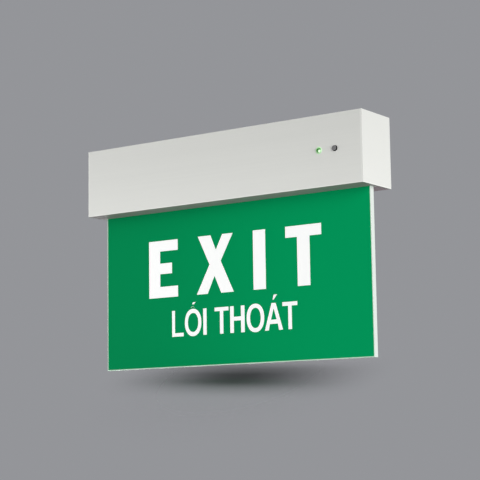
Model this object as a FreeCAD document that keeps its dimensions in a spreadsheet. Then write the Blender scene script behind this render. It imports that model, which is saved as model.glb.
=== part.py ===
"""Edge-lit emergency exit sign for a ceiling: a long housing with a hanging green panel.

The origin is the middle of the face that meets the ceiling. +X runs to the right as the
sign is read, +Y goes from the legend to the back, and +Z points up into the ceiling.
Every length is in millimetres and is kept, once, in the spreadsheet called Sizes.
"""
import FreeCAD, Part

import math
import os
import re

import Sketcher

SIZES = (
    # The housing: an extruded body, closed by a cap at each end.
    ("housing_length", 365, "outside length of the housing with its caps"),
    ("housing_depth", 58, "outside depth of the housing, front to back"),
    ("housing_height", 76, "height of the housing below the ceiling"),
    ("wall_thickness", 1.8, "front and rear walls of the profile"),
    ("floor_thickness", 2.0, "underside of the profile"),
    ("edge_radius", 0.4, "rounding of the outer long edges"),
    ("cap_thickness", 2.0, "outer plate of an end cap"),
    ("tab_thickness", 1.5, "locating tabs of an end cap"),
    ("tab_length", 7.0, "how far the tabs reach into the profile"),
    ("tab_height", 40.0, "height of the tabs"),
    ("fit_clearance", 0.2, "gap round pieces that slide together"),
    ("rib_size", 1.5, "rib that the ceiling plate's flange stands on"),
    ("port_radius", 3.4, "outside of a screw port in the lower corners"),
    ("port_bore", 1.7, "bore of a screw port"),
    ("peg_clearance", 0.05, "gap round an end cap's peg in its port"),
    ("peg_length", 12.0, "length of an end cap's peg"),
    # The panel, and the channel in the housing that grips it.
    ("panel_inset", 6.65, "panel's side edges, from the housing's ends"),
    ("legend_height", 175, "height of the legend below the housing"),
    ("guide_thickness", 5.0, "clear light guide"),
    ("sheet_thickness", 0.75, "legend sheet and reflector sheet, each"),
    ("strip_thickness", 0.85, "white strips round the panel's edges"),
    ("panel_grip", 20.0, "how far the panel reaches up into the housing"),
    ("panel_clearance", 0.4, "gap on each side of the panel in its channel"),
    ("channel_rib", 1.6, "ribs on both sides of the panel"),
    ("channel_web", 1.6, "web over the panel, which carries the light board"),
    ("panel_screw_spacing", 120, "distance between the screws through the panel"),
    ("panel_screw_height", 10, "height of these screws above the underside"),
    ("panel_hole_radius", 2.0, "holes in the panel for these screws"),
    # The light board over the panel's top edge.
    ("light_board_width", 6.4, "width of the board in the channel"),
    ("light_board_thickness", 1.2, "thickness of the board"),
    ("light_gap", 0.6, "gap from the lamps to the light guide"),
    ("chip_length", 3.5, "a lamp chip, along the board"),
    ("chip_width", 2.8, "a lamp chip, across the board"),
    ("chip_height", 0.8, "a lamp chip, off the board"),
    ("chip_count", 24, "number of lamp chips"),
    ("chip_margin", 9, "from the board's end to the middle of the first chip"),
    # The plate on the ceiling, which carries the works.
    ("plate_thickness", 1.2, "folded steel of the ceiling plate"),
    ("flange_height", 14.0, "flanges of the ceiling plate"),
    ("fixing_spacing", 300, "distance between the ceiling screw slots"),
    ("fixing_width", 5.2, "width of a ceiling screw slot"),
    ("fixing_length", 12.0, "length of a ceiling screw slot, end to end"),
    ("cable_offset", 45, "cable entry, to the left of the middle"),
    ("box_spacing", 51, "slots for a conduit box, either side of the cable entry"),
    ("box_width", 4.2, "width of a conduit box slot"),
    ("box_length", 7.0, "length of a conduit box slot, end to end"),
    ("recess_radius", 12.5, "pressed recess round the cable entry"),
    ("recess_depth", 2.0, "depth of that recess"),
    ("cable_hole_radius", 7.0, "hole in the plate for the grommet"),
    ("grommet_bore", 5.0, "bore of the grommet"),
    ("grommet_flange", 9.0, "flanges of the grommet"),
    ("grommet_lip", 1.4, "thickness of each flange of the grommet"),
    ("cover_screw_inset", 22.5, "screws through the rear wall, from the housing's ends"),
    ("cover_screw_drop", 8.0, "these screws below the ceiling"),
    ("cover_screw_length", 8.0, "length of these screws"),
    # One size of screw thread is used all over: M3.
    ("thread_radius", 1.5, "shank of a screw"),
    ("screw_clearance", 0.15, "gap round a shank in a clearance hole"),
    ("thread_gap", 0.05, "gap round a shank in its thread"),
    ("head_radius", 2.8, "head of a screw"),
    ("head_height", 1.6, "height of a screw's head"),
    ("nut_radius", 3.15, "corners of a nut"),
    ("nut_height", 2.4, "height of a nut"),
    # The indicator lamp and the test button, on their own board behind the front wall.
    ("button_inset", 32.5, "test button, from the housing's right end"),
    ("lamp_spacing", 19.5, "from the indicator lamp to the test button"),
    ("indicator_drop", 37.2, "lamp and button below the ceiling"),
    ("lamp_radius", 2.5, "dome of the indicator lamp"),
    ("lamp_body", 6.1, "lamp from the front face back to its base"),
    ("lamp_base_radius", 2.9, "flange at the lamp's base"),
    ("lamp_base_height", 1.0, "thickness of that flange"),
    ("lamp_lead_radius", 0.3, "the lamp's two leads"),
    ("bezel_radius", 3.7, "flange of the lamp's bezel"),
    ("bezel_thickness", 0.5, "thickness of that flange"),
    ("bezel_barrel", 3.05, "barrel of the bezel"),
    ("bezel_length", 3.2, "length of the barrel behind the front face"),
    ("front_hole_radius", 3.1, "holes in the front wall for lamp and button"),
    ("button_radius", 2.8, "cap of the test button"),
    ("button_proud", 1.8, "cap in front of the housing"),
    ("button_rounding", 0.5, "rounding of the cap's edge"),
    ("button_collar", 3.9, "collar behind the wall that keeps the button in"),
    ("collar_gap", 0.15, "gap from the collar to the wall"),
    ("collar_thickness", 0.9, "thickness of the collar"),
    ("stem_radius", 1.6, "stem that presses the switch"),
    ("stem_engagement", 0.2, "stem inside the switch at rest"),
    ("switch_size", 6.0, "sides of the switch"),
    ("switch_height", 3.5, "height of the switch off its board"),
    ("switch_bore", 1.9, "bore of the switch"),
    ("switch_depth", 1.6, "depth of that bore"),
    ("indicator_standoff", 9.3, "board behind the front wall"),
    ("standoff_offset", 7.5, "standoffs beyond the lamp and the button"),
    ("board_margin", 3.5, "board beyond the standoffs"),
    ("indicator_board_height", 16.0, "height of the indicator board"),
    ("board_thickness", 1.6, "both circuit boards"),
    ("post_radius", 2.4, "standoffs of the indicator board"),
    # The battery: three cells end to end in one sleeve, in two spring clips.
    ("cell_radius", 7.25, "radius of a sleeved cell"),
    ("cell_length", 50.5, "length of a cell"),
    ("cell_neck", 0.8, "waist in the sleeve between cells"),
    ("battery_inset", 36, "battery's left end, from the housing's left end"),
    ("battery_gap", 1.0, "gap from a battery clip to the plate's rear flange"),
    ("battery_drop", 9.6, "battery's axis below the plate"),
    ("clip_thickness", 1.0, "arms of a battery clip"),
    ("clip_width", 12.0, "width of a battery clip"),
    ("clip_inset", 24.0, "middle of a clip from the battery's end"),
    ("clip_mouth", 3.5, "height of the open mouth below the axis"),
    ("clip_foot", 10.0, "width of a clip's foot on the plate"),
    ("clip_peg", 2.0, "peg that holds a clip in the plate"),
    # The control board, under the plate on four standoffs.
    ("control_inset", 49.5, "control board's right end, from the housing's right end"),
    ("control_length", 90, "length of the control board"),
    ("control_width", 42, "width of the control board"),
    ("control_standoff", 8.0, "gap from the plate to the board"),
    ("control_hole_inset", 4.5, "standoffs from the board's edges"),
    ("control_post_radius", 3.2, "corners of the control board's standoffs"),
    ("transformer_length", 28, "transformer core, along the sign"),
    ("transformer_width", 20, "transformer core, front to back"),
    ("transformer_height", 22, "transformer core, off the board"),
    ("transformer_left", 12, "transformer from the board's left end"),
    ("winding_bulge", 3.0, "winding beyond the core on each side"),
    ("capacitor_radius", 5.0, "electrolytic capacitors"),
    ("capacitor_height", 16.0, "height of these"),
    ("capacitor_spacing", 13.0, "distance between these"),
    ("capacitor_left", 50, "first of these from the board's left end"),
    ("relay_length", 19, "relay, along the sign"),
    ("relay_width", 15, "relay, front to back"),
    ("relay_height", 15, "relay, off the board"),
    ("chip_gap", 3.5, "control chip from the last of these"),
    ("chip_body_length", 6.4, "control chip, along the sign"),
    ("chip_body_width", 10, "control chip, front to back"),
    ("chip_body_height", 3.5, "control chip, off the board"),
    ("film_left", 4.5, "film capacitor from the board's left end"),
    ("film_length", 6.0, "film capacitor, along the sign"),
    ("film_width", 14.0, "film capacitor, front to back"),
    ("film_height", 11.0, "film capacitor, off the board"),
    ("header_length", 5.8, "a wire header, along the sign"),
    ("header_width", 7.5, "a wire header, front to back"),
    ("header_height", 7.0, "a wire header, off the board"),
    ("header_wall", 0.9, "walls of a header"),
    ("header_spacing", 10.0, "distance between headers"),
    ("header_inset", 11.0, "headers from the board's right end"),
    # The mains terminal block and the earth stud, under the plate.
    ("terminal_length", 26, "terminal block, along the sign"),
    ("terminal_width", 15, "terminal block, front to back"),
    ("terminal_height", 14, "terminal block, below the plate"),
    ("terminal_left", 9, "terminal block's left end, left of the middle"),
    ("terminal_gap", 3.8, "terminal block from the plate's front flange"),
    ("terminal_pitch", 8.0, "distance between terminals"),
    ("terminal_way", 1.8, "radius of a wire's way through the block"),
    ("terminal_well", 2.3, "radius of a screw's well"),
    ("terminal_screw", 2.0, "radius of a terminal screw"),
    ("terminal_depth", 3.0, "terminal screw below the block's face"),
    ("slot_width", 0.6, "width of a terminal screw's slot"),
    ("slot_depth", 1.0, "depth of that slot"),
    ("stud_offset", 100, "earth stud, to the left of the middle"),
    ("stud_gap", 13.8, "earth stud's axis from the plate's front flange"),
    ("stud_radius", 2.0, "earth stud"),
    ("stud_length", 12.0, "earth stud below the plate"),
    ("stud_nut_radius", 4.0, "corners of the earth nut"),
    ("stud_nut_height", 3.2, "height of the earth nut"),
    ("stud_nut_drop", 2.5, "earth nut below the plate, over the tag's room"),
)

DOC = FreeCAD.newDocument("exit_sign")
SHEET = DOC.addObject("Spreadsheet::Sheet", "Sizes")
WORDS = {alias for alias, _value, _meaning in SIZES}
NODES = []

# Places that several pieces share, as expressions in the sheet's words.
HALF_LENGTH = "(housing_length / 2)"
HALF_DEPTH = "(housing_depth / 2)"
PROFILE_HALF = "(housing_length / 2 - cap_thickness)"
WALL_FACE = "(housing_depth / 2 - wall_thickness)"
TAB_FACE = f"({WALL_FACE} - fit_clearance)"
UNDERSIDE = "(-housing_height)"
FLOOR_FACE = "(floor_thickness - housing_height)"
PORT_Y = f"({WALL_FACE} - port_bore - wall_thickness / 2)"
PORT_Z = f"({FLOOR_FACE} + port_bore + wall_thickness / 2)"
PANEL_HALF = "(guide_thickness / 2 + sheet_thickness)"
PANEL_TOP = "(panel_grip - housing_height)"
PANEL_FOOT = "(-housing_height - legend_height)"
LEGEND_HALF = "(housing_length / 2 - panel_inset - strip_thickness)"
SLOT_HALF = f"({PANEL_HALF} + panel_clearance)"
RIB_FACE = f"({SLOT_HALF} + channel_rib)"
CHIP_FACE = f"({PANEL_TOP} + light_gap)"
LIGHT_FACE = f"({CHIP_FACE} + chip_height)"
WEB_FACE = f"({LIGHT_FACE} + light_board_thickness)"
PLATE_HALF = f"({WALL_FACE} - fit_clearance)"
PLATE_FACE = "(-plate_thickness)"
FLANGE_FACE = f"({PLATE_HALF} - plate_thickness)"
FLANGE_FOOT = "(-flange_height)"
COVER_SCREW = "(housing_length / 2 - cover_screw_inset)"
BUTTON_X = "(housing_length / 2 - button_inset)"
LAMP_X = f"({BUTTON_X} - lamp_spacing)"
INDICATOR_FACE = f"(indicator_standoff - {WALL_FACE})"
SPACER_LENGTH = "(wall_thickness + indicator_standoff - lamp_body)"
CLEARANCE_HOLE = "(thread_radius + screw_clearance)"
THREAD_HOLE = "(thread_radius + thread_gap)"
BATTERY_LEFT = "(battery_inset - housing_length / 2)"
CLIP_RADIUS = "(cell_radius + thread_gap + clip_thickness)"
BATTERY_BACK = f"({FLANGE_FACE} - battery_gap - {CLIP_RADIUS})"
BATTERY_AXIS = f"({PLATE_FACE} - battery_drop)"
CONTROL_TOP = f"({PLATE_FACE} - control_standoff)"
CONTROL_FACE = f"({CONTROL_TOP} - board_thickness)"
CONTROL_RIGHT = "(housing_length / 2 - control_inset)"
CONTROL_LEFT = f"({CONTROL_RIGHT} - control_length)"
CONTROL_POSTS = [(x, y) for x in (f"({CONTROL_LEFT} + control_hole_inset)",
                                  f"({CONTROL_RIGHT} - control_hole_inset)")
                 for y in ("(control_hole_inset - control_width / 2)",
                           "(control_width / 2 - control_hole_inset)")]
CLIPS = (f"({BATTERY_LEFT} + clip_inset)", f"({BATTERY_LEFT} + 3 * cell_length - clip_inset)")


def fill_sheet():
    """Writes the driving sizes into the sheet, one to a row, each with its alias."""
    for row, (alias, value, meaning) in enumerate(SIZES, start=1):
        SHEET.set(f"A{row}", meaning)
        SHEET.set(f"B{row}", str(value))
        SHEET.setAlias(f"B{row}", alias)
    DOC.recompute()


def worded(text):
    """Gives an expression with each size's word pointing to the sheet."""
    return re.sub(r"[a-z_]+", lambda found: "Sizes." + found[0] if found[0] in WORDS else found[0], text)


def number(text):
    """Gives the present value of an expression."""
    return float(SHEET.evalExpression(worded(text)))


def bind(item, **texts):
    """Binds properties of an object to expressions; a double underscore stands for a dot."""
    for name, text in texts.items():
        item.setExpression(name.replace("__", "."), worded(text))
    return item


def place(item, x="0", y="0", z="0"):
    """Puts an object's own origin at a place given by expressions."""
    return bind(item, Placement__Base__x=x, Placement__Base__y=y, Placement__Base__z=z)


def turn(item, axis, angle):
    """Turns an object about its own origin, before it is placed."""
    item.Placement = FreeCAD.Placement(FreeCAD.Vector(), FreeCAD.Rotation(FreeCAD.Vector(*axis), angle))
    return item


def node(item, label):
    """Names a finished sub-part and puts it on the list that is written out."""
    item.Label = label
    NODES.append(item)
    return item


# ---- sketches and features of a body ----

def body(name):
    """Starts a body, which may hold a group of like solids."""
    made = DOC.addObject("PartDesign::Body", name + "_body")
    made.AllowCompound = True
    return made


def origin_of(owner, role):
    """Gives one plane or axis of a body's own origin."""
    return next(item for item in owner.Origin.OriginFeatures if item.Role == role)


def sketch(owner, role, offset="0"):
    """Lays a sketch on a plane of the body's origin, offset along the plane's normal."""
    made = owner.newObject("Sketcher::SketchObject", owner.Name + "_sketch")
    made.AttachmentSupport = [(origin_of(owner, role), "")]
    made.MapMode = "FlatFace"
    return bind(made, AttachmentOffset__Base__z=offset)


def pin_point(drawn, item, point, u, v):
    """Fixes a point of a sketch at (u, v) from the sketch's origin."""
    for kind, text, axis in (("DistanceX", u, -2), ("DistanceY", v, -1)):
        if text == "0":
            drawn.addConstraint(Sketcher.Constraint("PointOnObject", item, point, axis))
            continue
        index = drawn.addConstraint(Sketcher.Constraint(kind, -1, 1, item, point, number(text)))
        drawn.setExpression(f"Constraints[{index}]", worded(text))


def outline(drawn, corners):
    """Draws a closed outline; a corner with a radius starts an arc that bulges to its right."""
    spots = [FreeCAD.Vector(number(corner[0]), number(corner[1]), 0) for corner in corners]
    first = drawn.GeometryCount
    for index, corner in enumerate(corners):
        start, end = spots[index], spots[(index + 1) % len(spots)]
        if len(corner) == 2:
            drawn.addGeometry(Part.LineSegment(start, end))
            continue
        chord = end - start
        right = FreeCAD.Vector(chord.y, -chord.x, 0).normalize()
        radius = number(corner[2])
        rise = radius - math.sqrt(max(radius ** 2 - (chord.Length / 2) ** 2, 0))
        drawn.addGeometry(Part.Arc(start, (start + end) / 2 + right * rise, end))
    for index, corner in enumerate(corners):
        here, after = first + index, first + (index + 1) % len(corners)
        ends = arc_ends(drawn, here, spots[index])
        next_ends = arc_ends(drawn, after, spots[(index + 1) % len(corners)])
        drawn.addConstraint(Sketcher.Constraint("Coincident", here, ends[1], after, next_ends[0]))
        pin_point(drawn, here, ends[0], corner[0], corner[1])
        if len(corner) == 3:
            radius = drawn.addConstraint(Sketcher.Constraint("Radius", here, number(corner[2])))
            drawn.setExpression(f"Constraints[{radius}]", worded(corner[2]))
    return drawn


def arc_ends(drawn, item, start):
    """Says which end of a line or arc is the one at start: (its number, the other's)."""
    return (1, 2) if drawn.getPoint(item, 1).isEqual(start, 1e-6) else (2, 1)


def rectangle(drawn, u_low, u_high, v_low, v_high):
    """Draws a rectangle between two pairs of sides."""
    return outline(drawn, [(u_low, v_low), (u_high, v_low), (u_high, v_high), (u_low, v_high)])


def circle(drawn, u, v, radius):
    """Draws a circle about (u, v)."""
    made = drawn.addGeometry(Part.Circle(FreeCAD.Vector(number(u), number(v), 0),
                                         FreeCAD.Vector(0, 0, 1), number(radius)))
    pin_point(drawn, made, 3, u, v)
    index = drawn.addConstraint(Sketcher.Constraint("Radius", made, number(radius)))
    drawn.setExpression(f"Constraints[{index}]", worded(radius))
    return drawn


def slot(drawn, u, v, length, width):
    """Draws a slot along u, with round ends, centred on (u, v)."""
    half = f"(({length}) - ({width})) / 2"
    radius = number(width) / 2
    ends = []
    for sign, start in ((-1, math.pi / 2), (1, -math.pi / 2)):
        centre = FreeCAD.Vector(number(u) + sign * number(half), number(v), 0)
        ring = Part.Circle(centre, FreeCAD.Vector(0, 0, 1), radius)
        ends.append(drawn.addGeometry(Part.ArcOfCircle(ring, start, start + math.pi)))
        pin_point(drawn, ends[-1], 3, f"({u}) + ({sign}) * {half}", v)
    left, right = ends
    foot = drawn.addGeometry(Part.LineSegment(drawn.getPoint(left, 2), drawn.getPoint(right, 1)))
    head = drawn.addGeometry(Part.LineSegment(drawn.getPoint(right, 2), drawn.getPoint(left, 1)))
    for line, line_end, arc, arc_end in ((foot, 1, left, 2), (foot, 2, right, 1),
                                         (head, 1, right, 2), (head, 2, left, 1)):
        drawn.addConstraint(Sketcher.Constraint("Tangent", line, line_end, arc, arc_end))
    drawn.addConstraint(Sketcher.Constraint("Equal", left, right))
    index = drawn.addConstraint(Sketcher.Constraint("Radius", left, radius))
    drawn.setExpression(f"Constraints[{index}]", worded(f"({width}) / 2"))
    return drawn


def pad(owner, drawn, length, both=False, back=False):
    """Pads a sketch along its plane's normal, evenly to both sides, or back from it."""
    made = owner.newObject("PartDesign::Pad", owner.Name + "_pad")
    made.Profile = drawn
    made.SideType = "Symmetric" if both else "One side"
    made.Reversed = back
    bind(made, Length=length)
    DOC.recompute()
    return made


def pocket(owner, drawn, length, both=False, back=False):
    """Cuts a sketch against its plane's normal, and makes sure that something was cut."""
    before = owner.Shape.Volume
    made = owner.newObject("PartDesign::Pocket", owner.Name + "_pocket")
    made.Profile = drawn
    made.SideType = "Symmetric" if both else "One side"
    made.Reversed = back
    bind(made, Length=length)
    DOC.recompute()
    if owner.Shape.Volume >= before:
        raise RuntimeError(f"a pocket of {owner.Name} cuts nothing")
    return made


def revolve(owner, drawn, axis="V_Axis"):
    """Turns a sketch once round one of its own axes."""
    made = owner.newObject("PartDesign::Revolution", owner.Name + "_turned")
    made.Profile = drawn
    made.ReferenceAxis = (drawn, [axis])
    made.Angle = 360
    DOC.recompute()
    return made


def row(owner, feature, axis, length, count):
    """Repeats a feature along an axis of the body, evenly over a length."""
    made = owner.newObject("PartDesign::LinearPattern", owner.Name + "_row")
    made.Originals = [feature]
    made.Direction = (origin_of(owner, axis), [""])
    bind(made, Length=length, Occurrences=count)
    owner.Tip = made
    DOC.recompute()
    return made


def fillet(owner, radius, chosen):
    """Rounds those edges of a body whose bounding box the test chooses."""
    tip = owner.Tip
    names = [f"Edge{index}" for index, edge in enumerate(tip.Shape.Edges, start=1) if chosen(edge.BoundBox)]
    made = owner.newObject("PartDesign::Fillet", owner.Name + "_fillet")
    made.Base = (tip, names)
    bind(made, Radius=radius)
    DOC.recompute()
    return made


# ---- primitives and booleans ----

def block(name, x, y, z):
    """A box between three pairs of expressions."""
    made = DOC.addObject("Part::Box", name)
    bind(made, Length=f"({x[1]}) - ({x[0]})", Width=f"({y[1]}) - ({y[0]})", Height=f"({z[1]}) - ({z[0]})")
    return place(made, x[0], y[0], z[0])


def rod(name, radius, length, x, y, z, axis=(0, 0, 1)):
    """A cylinder from a place, along an axis."""
    made = DOC.addObject("Part::Cylinder", name)
    bind(made, Radius=radius, Height=length)
    towards = FreeCAD.Rotation(FreeCAD.Vector(0, 0, 1), FreeCAD.Vector(*axis))
    made.Placement = FreeCAD.Placement(FreeCAD.Vector(), towards)
    return place(made, x, y, z)


def hexagon(name, corners, height, x, y, z, axis=(0, 0, 1)):
    """A six-sided bar from a place, along an axis."""
    made = DOC.addObject("Part::Prism", name)
    made.Polygon = 6
    bind(made, Circumradius=corners, Height=height)
    towards = FreeCAD.Rotation(FreeCAD.Vector(0, 0, 1), FreeCAD.Vector(*axis))
    made.Placement = FreeCAD.Placement(FreeCAD.Vector(), towards)
    return place(made, x, y, z)


def cut(name, base, tools):
    """One object less several others."""
    made = DOC.addObject("Part::Cut", name)
    made.Base = base
    made.Tool = tools[0] if len(tools) == 1 else fuse(name + "_tools", tools)
    return made


def fuse(name, pieces):
    """Several objects as one."""
    made = DOC.addObject("Part::MultiFuse", name)
    made.Shapes = pieces
    made.Refine = True
    return made


def group(name, pieces):
    """Several like pieces that share one node, each a solid of its own."""
    made = DOC.addObject("Part::Compound", name)
    made.Links = pieces
    return made


# ---- the housing ----

def housing_profile():
    """The extruded body: two walls, an underside and the channel that grips the panel."""
    made = body("housing_profile")
    rib_top = f"({FLANGE_FOOT} - fit_clearance)"
    half = [
        (HALF_DEPTH, "0"),
        (HALF_DEPTH, UNDERSIDE),
        (SLOT_HALF, UNDERSIDE),
        (SLOT_HALF, WEB_FACE),
    ]
    inside = [
        (RIB_FACE, f"({WEB_FACE} + channel_web)"),
        (RIB_FACE, FLOOR_FACE),
        (WALL_FACE, FLOOR_FACE),
        (WALL_FACE, f"({rib_top} - 2 * rib_size)"),
        (f"({WALL_FACE} - rib_size)", f"({rib_top} - rib_size)"),
        (f"({WALL_FACE} - rib_size)", rib_top),
        (WALL_FACE, rib_top),
        (WALL_FACE, "0"),
    ]
    mirrored = [(f"(-{u})", v) for u, v in reversed(half)]
    mirrored_inside = [(f"(-{u})", v) for u, v in reversed(inside)]
    section = outline(sketch(made, "YZ_Plane"), half + mirrored + mirrored_inside + inside)
    pad(made, section, f"2 * {PROFILE_HALF}", both=True)
    foot, depth = -number("housing_height"), number(HALF_DEPTH)
    fillet(made, "edge_radius", lambda box: box.XLength > 10 and abs(box.ZMax - foot) < 0.01
           and abs(abs(box.YMax) - depth) < 0.01)
    ports = sketch(made, "YZ_Plane")
    bores = sketch(made, "YZ_Plane")
    for side in ("", "-"):
        circle(ports, f"({side}{PORT_Y})", PORT_Z, "port_radius")
        circle(bores, f"({side}{PORT_Y})", PORT_Z, "port_bore")
    pad(made, ports, f"2 * {PROFILE_HALF}", both=True)
    pocket(made, bores, f"2 * {PROFILE_HALF}", both=True)
    front = sketch(made, "XZ_Plane", HALF_DEPTH)
    for x in (LAMP_X, BUTTON_X):
        circle(front, x, "(-indicator_drop)", "front_hole_radius")
    pocket(made, front, "wall_thickness + rib_size")
    rear = sketch(made, "XZ_Plane", f"(-{HALF_DEPTH})")
    for side in ("-", ""):
        circle(rear, f"({side}{COVER_SCREW})", "(-cover_screw_drop)", CLEARANCE_HOLE)
    pocket(made, rear, "wall_thickness", back=True)
    for side in ("-", ""):
        sink = made.newObject("PartDesign::SubtractiveCone", "countersink")
        turn(sink, (1, 0, 0), 90)
        bind(sink, Radius1="head_radius + fit_clearance", Radius2=CLEARANCE_HOLE, Height="head_height")
        place(sink, f"{side}{COVER_SCREW}", HALF_DEPTH, "-cover_screw_drop")
    ribs = sketch(made, "XZ_Plane")
    for step in ("(-panel_screw_spacing)", "0", "panel_screw_spacing"):
        circle(ribs, step, f"({UNDERSIDE} + panel_screw_height)", CLEARANCE_HOLE)
    pocket(made, ribs, f"2 * {RIB_FACE}", both=True)
    node(made, "housing_profile")


def end_cap(name, sign):
    """A moulded cap: an outer plate with tabs, pegs and a tongue that closes the channel."""
    made = body(name)
    inner = f"({sign}1) * {PROFILE_HALF}"
    inward = sign == "+"
    plate = rectangle(sketch(made, "YZ_Plane", inner), f"(-{HALF_DEPTH})", HALF_DEPTH, UNDERSIDE, "0")
    pad(made, plate, "cap_thickness", back=not inward)
    foot, depth = -number("housing_height"), number(HALF_DEPTH)
    fillet(made, "edge_radius", lambda box: box.XLength > 1 and abs(box.ZMax - foot) < 0.01
           and abs(abs(box.YMax) - depth) < 0.01)
    tabs = sketch(made, "YZ_Plane", inner)
    low = f"({PORT_Z} + port_radius + fit_clearance)"
    for side in ("", "-"):
        faces = [f"({side}({TAB_FACE} - tab_thickness))", f"({side}{TAB_FACE})"]
        rectangle(tabs, *sorted(faces, key=number), low, f"({low} + tab_height)")
    pad(made, tabs, "tab_length", back=inward)
    tongue = rectangle(sketch(made, "YZ_Plane", inner), f"(fit_clearance - {SLOT_HALF})",
                       f"({SLOT_HALF} - fit_clearance)", UNDERSIDE, f"({WEB_FACE} - fit_clearance)")
    pad(made, tongue, "panel_inset - cap_thickness - fit_clearance", back=inward)
    pegs = sketch(made, "YZ_Plane", inner)
    for side in ("", "-"):
        circle(pegs, f"({side}{PORT_Y})", PORT_Z, "(port_bore - peg_clearance)")
    pad(made, pegs, "peg_length", back=inward)
    node(made, name)


# ---- the plate on the ceiling ----

def ceiling_plate():
    """The folded plate: two flanges, slots for screws and a recess with the cable's hole."""
    made = body("ceiling_plate")
    section = outline(sketch(made, "YZ_Plane"), [
        (f"(-{PLATE_HALF})", "0"),
        (f"(-{PLATE_HALF})", FLANGE_FOOT),
        (f"(plate_thickness - {PLATE_HALF})", FLANGE_FOOT),
        (f"(plate_thickness - {PLATE_HALF})", PLATE_FACE),
        (f"({PLATE_HALF} - plate_thickness)", PLATE_FACE),
        (f"({PLATE_HALF} - plate_thickness)", FLANGE_FOOT),
        (PLATE_HALF, FLANGE_FOOT),
        (PLATE_HALF, "0"),
    ])
    pad(made, section, f"2 * ({PROFILE_HALF} - fit_clearance)", both=True)
    bend = number(PLATE_HALF)
    fillet(made, "plate_thickness", lambda box: box.XLength > 10 and abs(box.ZMax) < 0.01
           and abs(abs(box.YMax) - bend) < 0.01)
    dish = circle(sketch(made, "XY_Plane"), "(-cable_offset)", "0", "recess_radius")
    pad(made, dish, "recess_depth + plate_thickness", back=True)
    hollow = circle(sketch(made, "XY_Plane"), "(-cable_offset)", "0", "(recess_radius - plate_thickness)")
    pocket(made, hollow, "recess_depth")
    holes = sketch(made, "XY_Plane")
    circle(holes, "(-cable_offset)", "0", "cable_hole_radius")
    for side in ("-", ""):
        slot(holes, f"({side}fixing_spacing / 2)", "0", "fixing_length", "fixing_width")
    for side in ("-", "+"):
        slot(holes, f"({side}box_spacing / 2 - cable_offset)", "0", "box_length", "box_width")
    for x in CLIPS:
        circle(holes, x, BATTERY_BACK, "(clip_peg + thread_gap)")
    pocket(made, holes, "recess_depth + plate_thickness")
    rear = sketch(made, "XZ_Plane", f"(-{PLATE_HALF})")
    for side in ("-", ""):
        circle(rear, f"({side}{COVER_SCREW})", "(-cover_screw_drop)", THREAD_HOLE)
    pocket(made, rear, "plate_thickness", back=True)
    node(made, "ceiling_plate")


def cable_grommet():
    """The rubber ring that lines the cable's hole, with a lip on both sides of the plate."""
    made = body("cable_grommet")
    groove = "(cable_hole_radius - thread_gap)"
    drawn = outline(sketch(made, "XZ_Plane"), [
        ("grommet_bore", "grommet_lip"),
        ("grommet_bore", "(-plate_thickness - grommet_lip)"),
        ("grommet_flange", "(-plate_thickness - grommet_lip)"),
        ("grommet_flange", "(-plate_thickness)"),
        (groove, "(-plate_thickness)"),
        (groove, "0"),
        ("grommet_flange", "0"),
        ("grommet_flange", "grommet_lip / 2"),
        ("(grommet_flange - grommet_lip)", "grommet_lip"),
    ])
    revolve(made, drawn)
    place(made, "-cable_offset", "0", "-recess_depth")
    node(made, "cable_grommet")


def cover_screws():
    """The two countersunk screws that hold the housing to the plate's rear flange."""
    made = body("cover_screws")
    drawn = outline(sketch(made, "XY_Plane"), [
        ("0", "0"),
        ("head_radius", "0"),
        ("thread_radius", "(-head_height)"),
        ("thread_radius", "(-cover_screw_length)"),
        ("0", "(-cover_screw_length)"),
    ])
    row(made, revolve(made, drawn), "X_Axis", f"2 * {COVER_SCREW}", "2")
    place(made, f"-{COVER_SCREW}", HALF_DEPTH, "-cover_screw_drop")
    node(made, "cover_screws")


# ---- the panel and its light ----

def panel_sheet(name, front, back):
    """One sheet of the panel, with holes for the three screws that hold the panel."""
    sheet = block(name + "_blank", (f"-{LEGEND_HALF}", LEGEND_HALF), (front, back),
                  (PANEL_FOOT, PANEL_TOP))
    holes = [rod(name + "_hole", "panel_hole_radius", f"({back}) - ({front})", step, front,
                 f"{UNDERSIDE} + panel_screw_height", axis=(0, 1, 0))
             for step in ("-panel_screw_spacing", "0", "panel_screw_spacing")]
    node(cut(name, sheet, holes), name)


def edge_strips():
    """The white strips round the panel: the foot runs full width and the sides stand on it."""
    side = LEGEND_HALF
    outer = f"({LEGEND_HALF} + strip_thickness)"
    depth = (f"-{PANEL_HALF}", PANEL_HALF)
    node(block("strip_left", (f"-{outer}", f"-{side}"), depth, (PANEL_FOOT, PANEL_TOP)), "edge_strip_left")
    node(block("strip_right", (side, outer), depth, (PANEL_FOOT, PANEL_TOP)), "edge_strip_right")
    node(block("strip_foot", (f"-{outer}", outer), depth, (f"{PANEL_FOOT} - strip_thickness", PANEL_FOOT)),
         "edge_strip_bottom")


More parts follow.
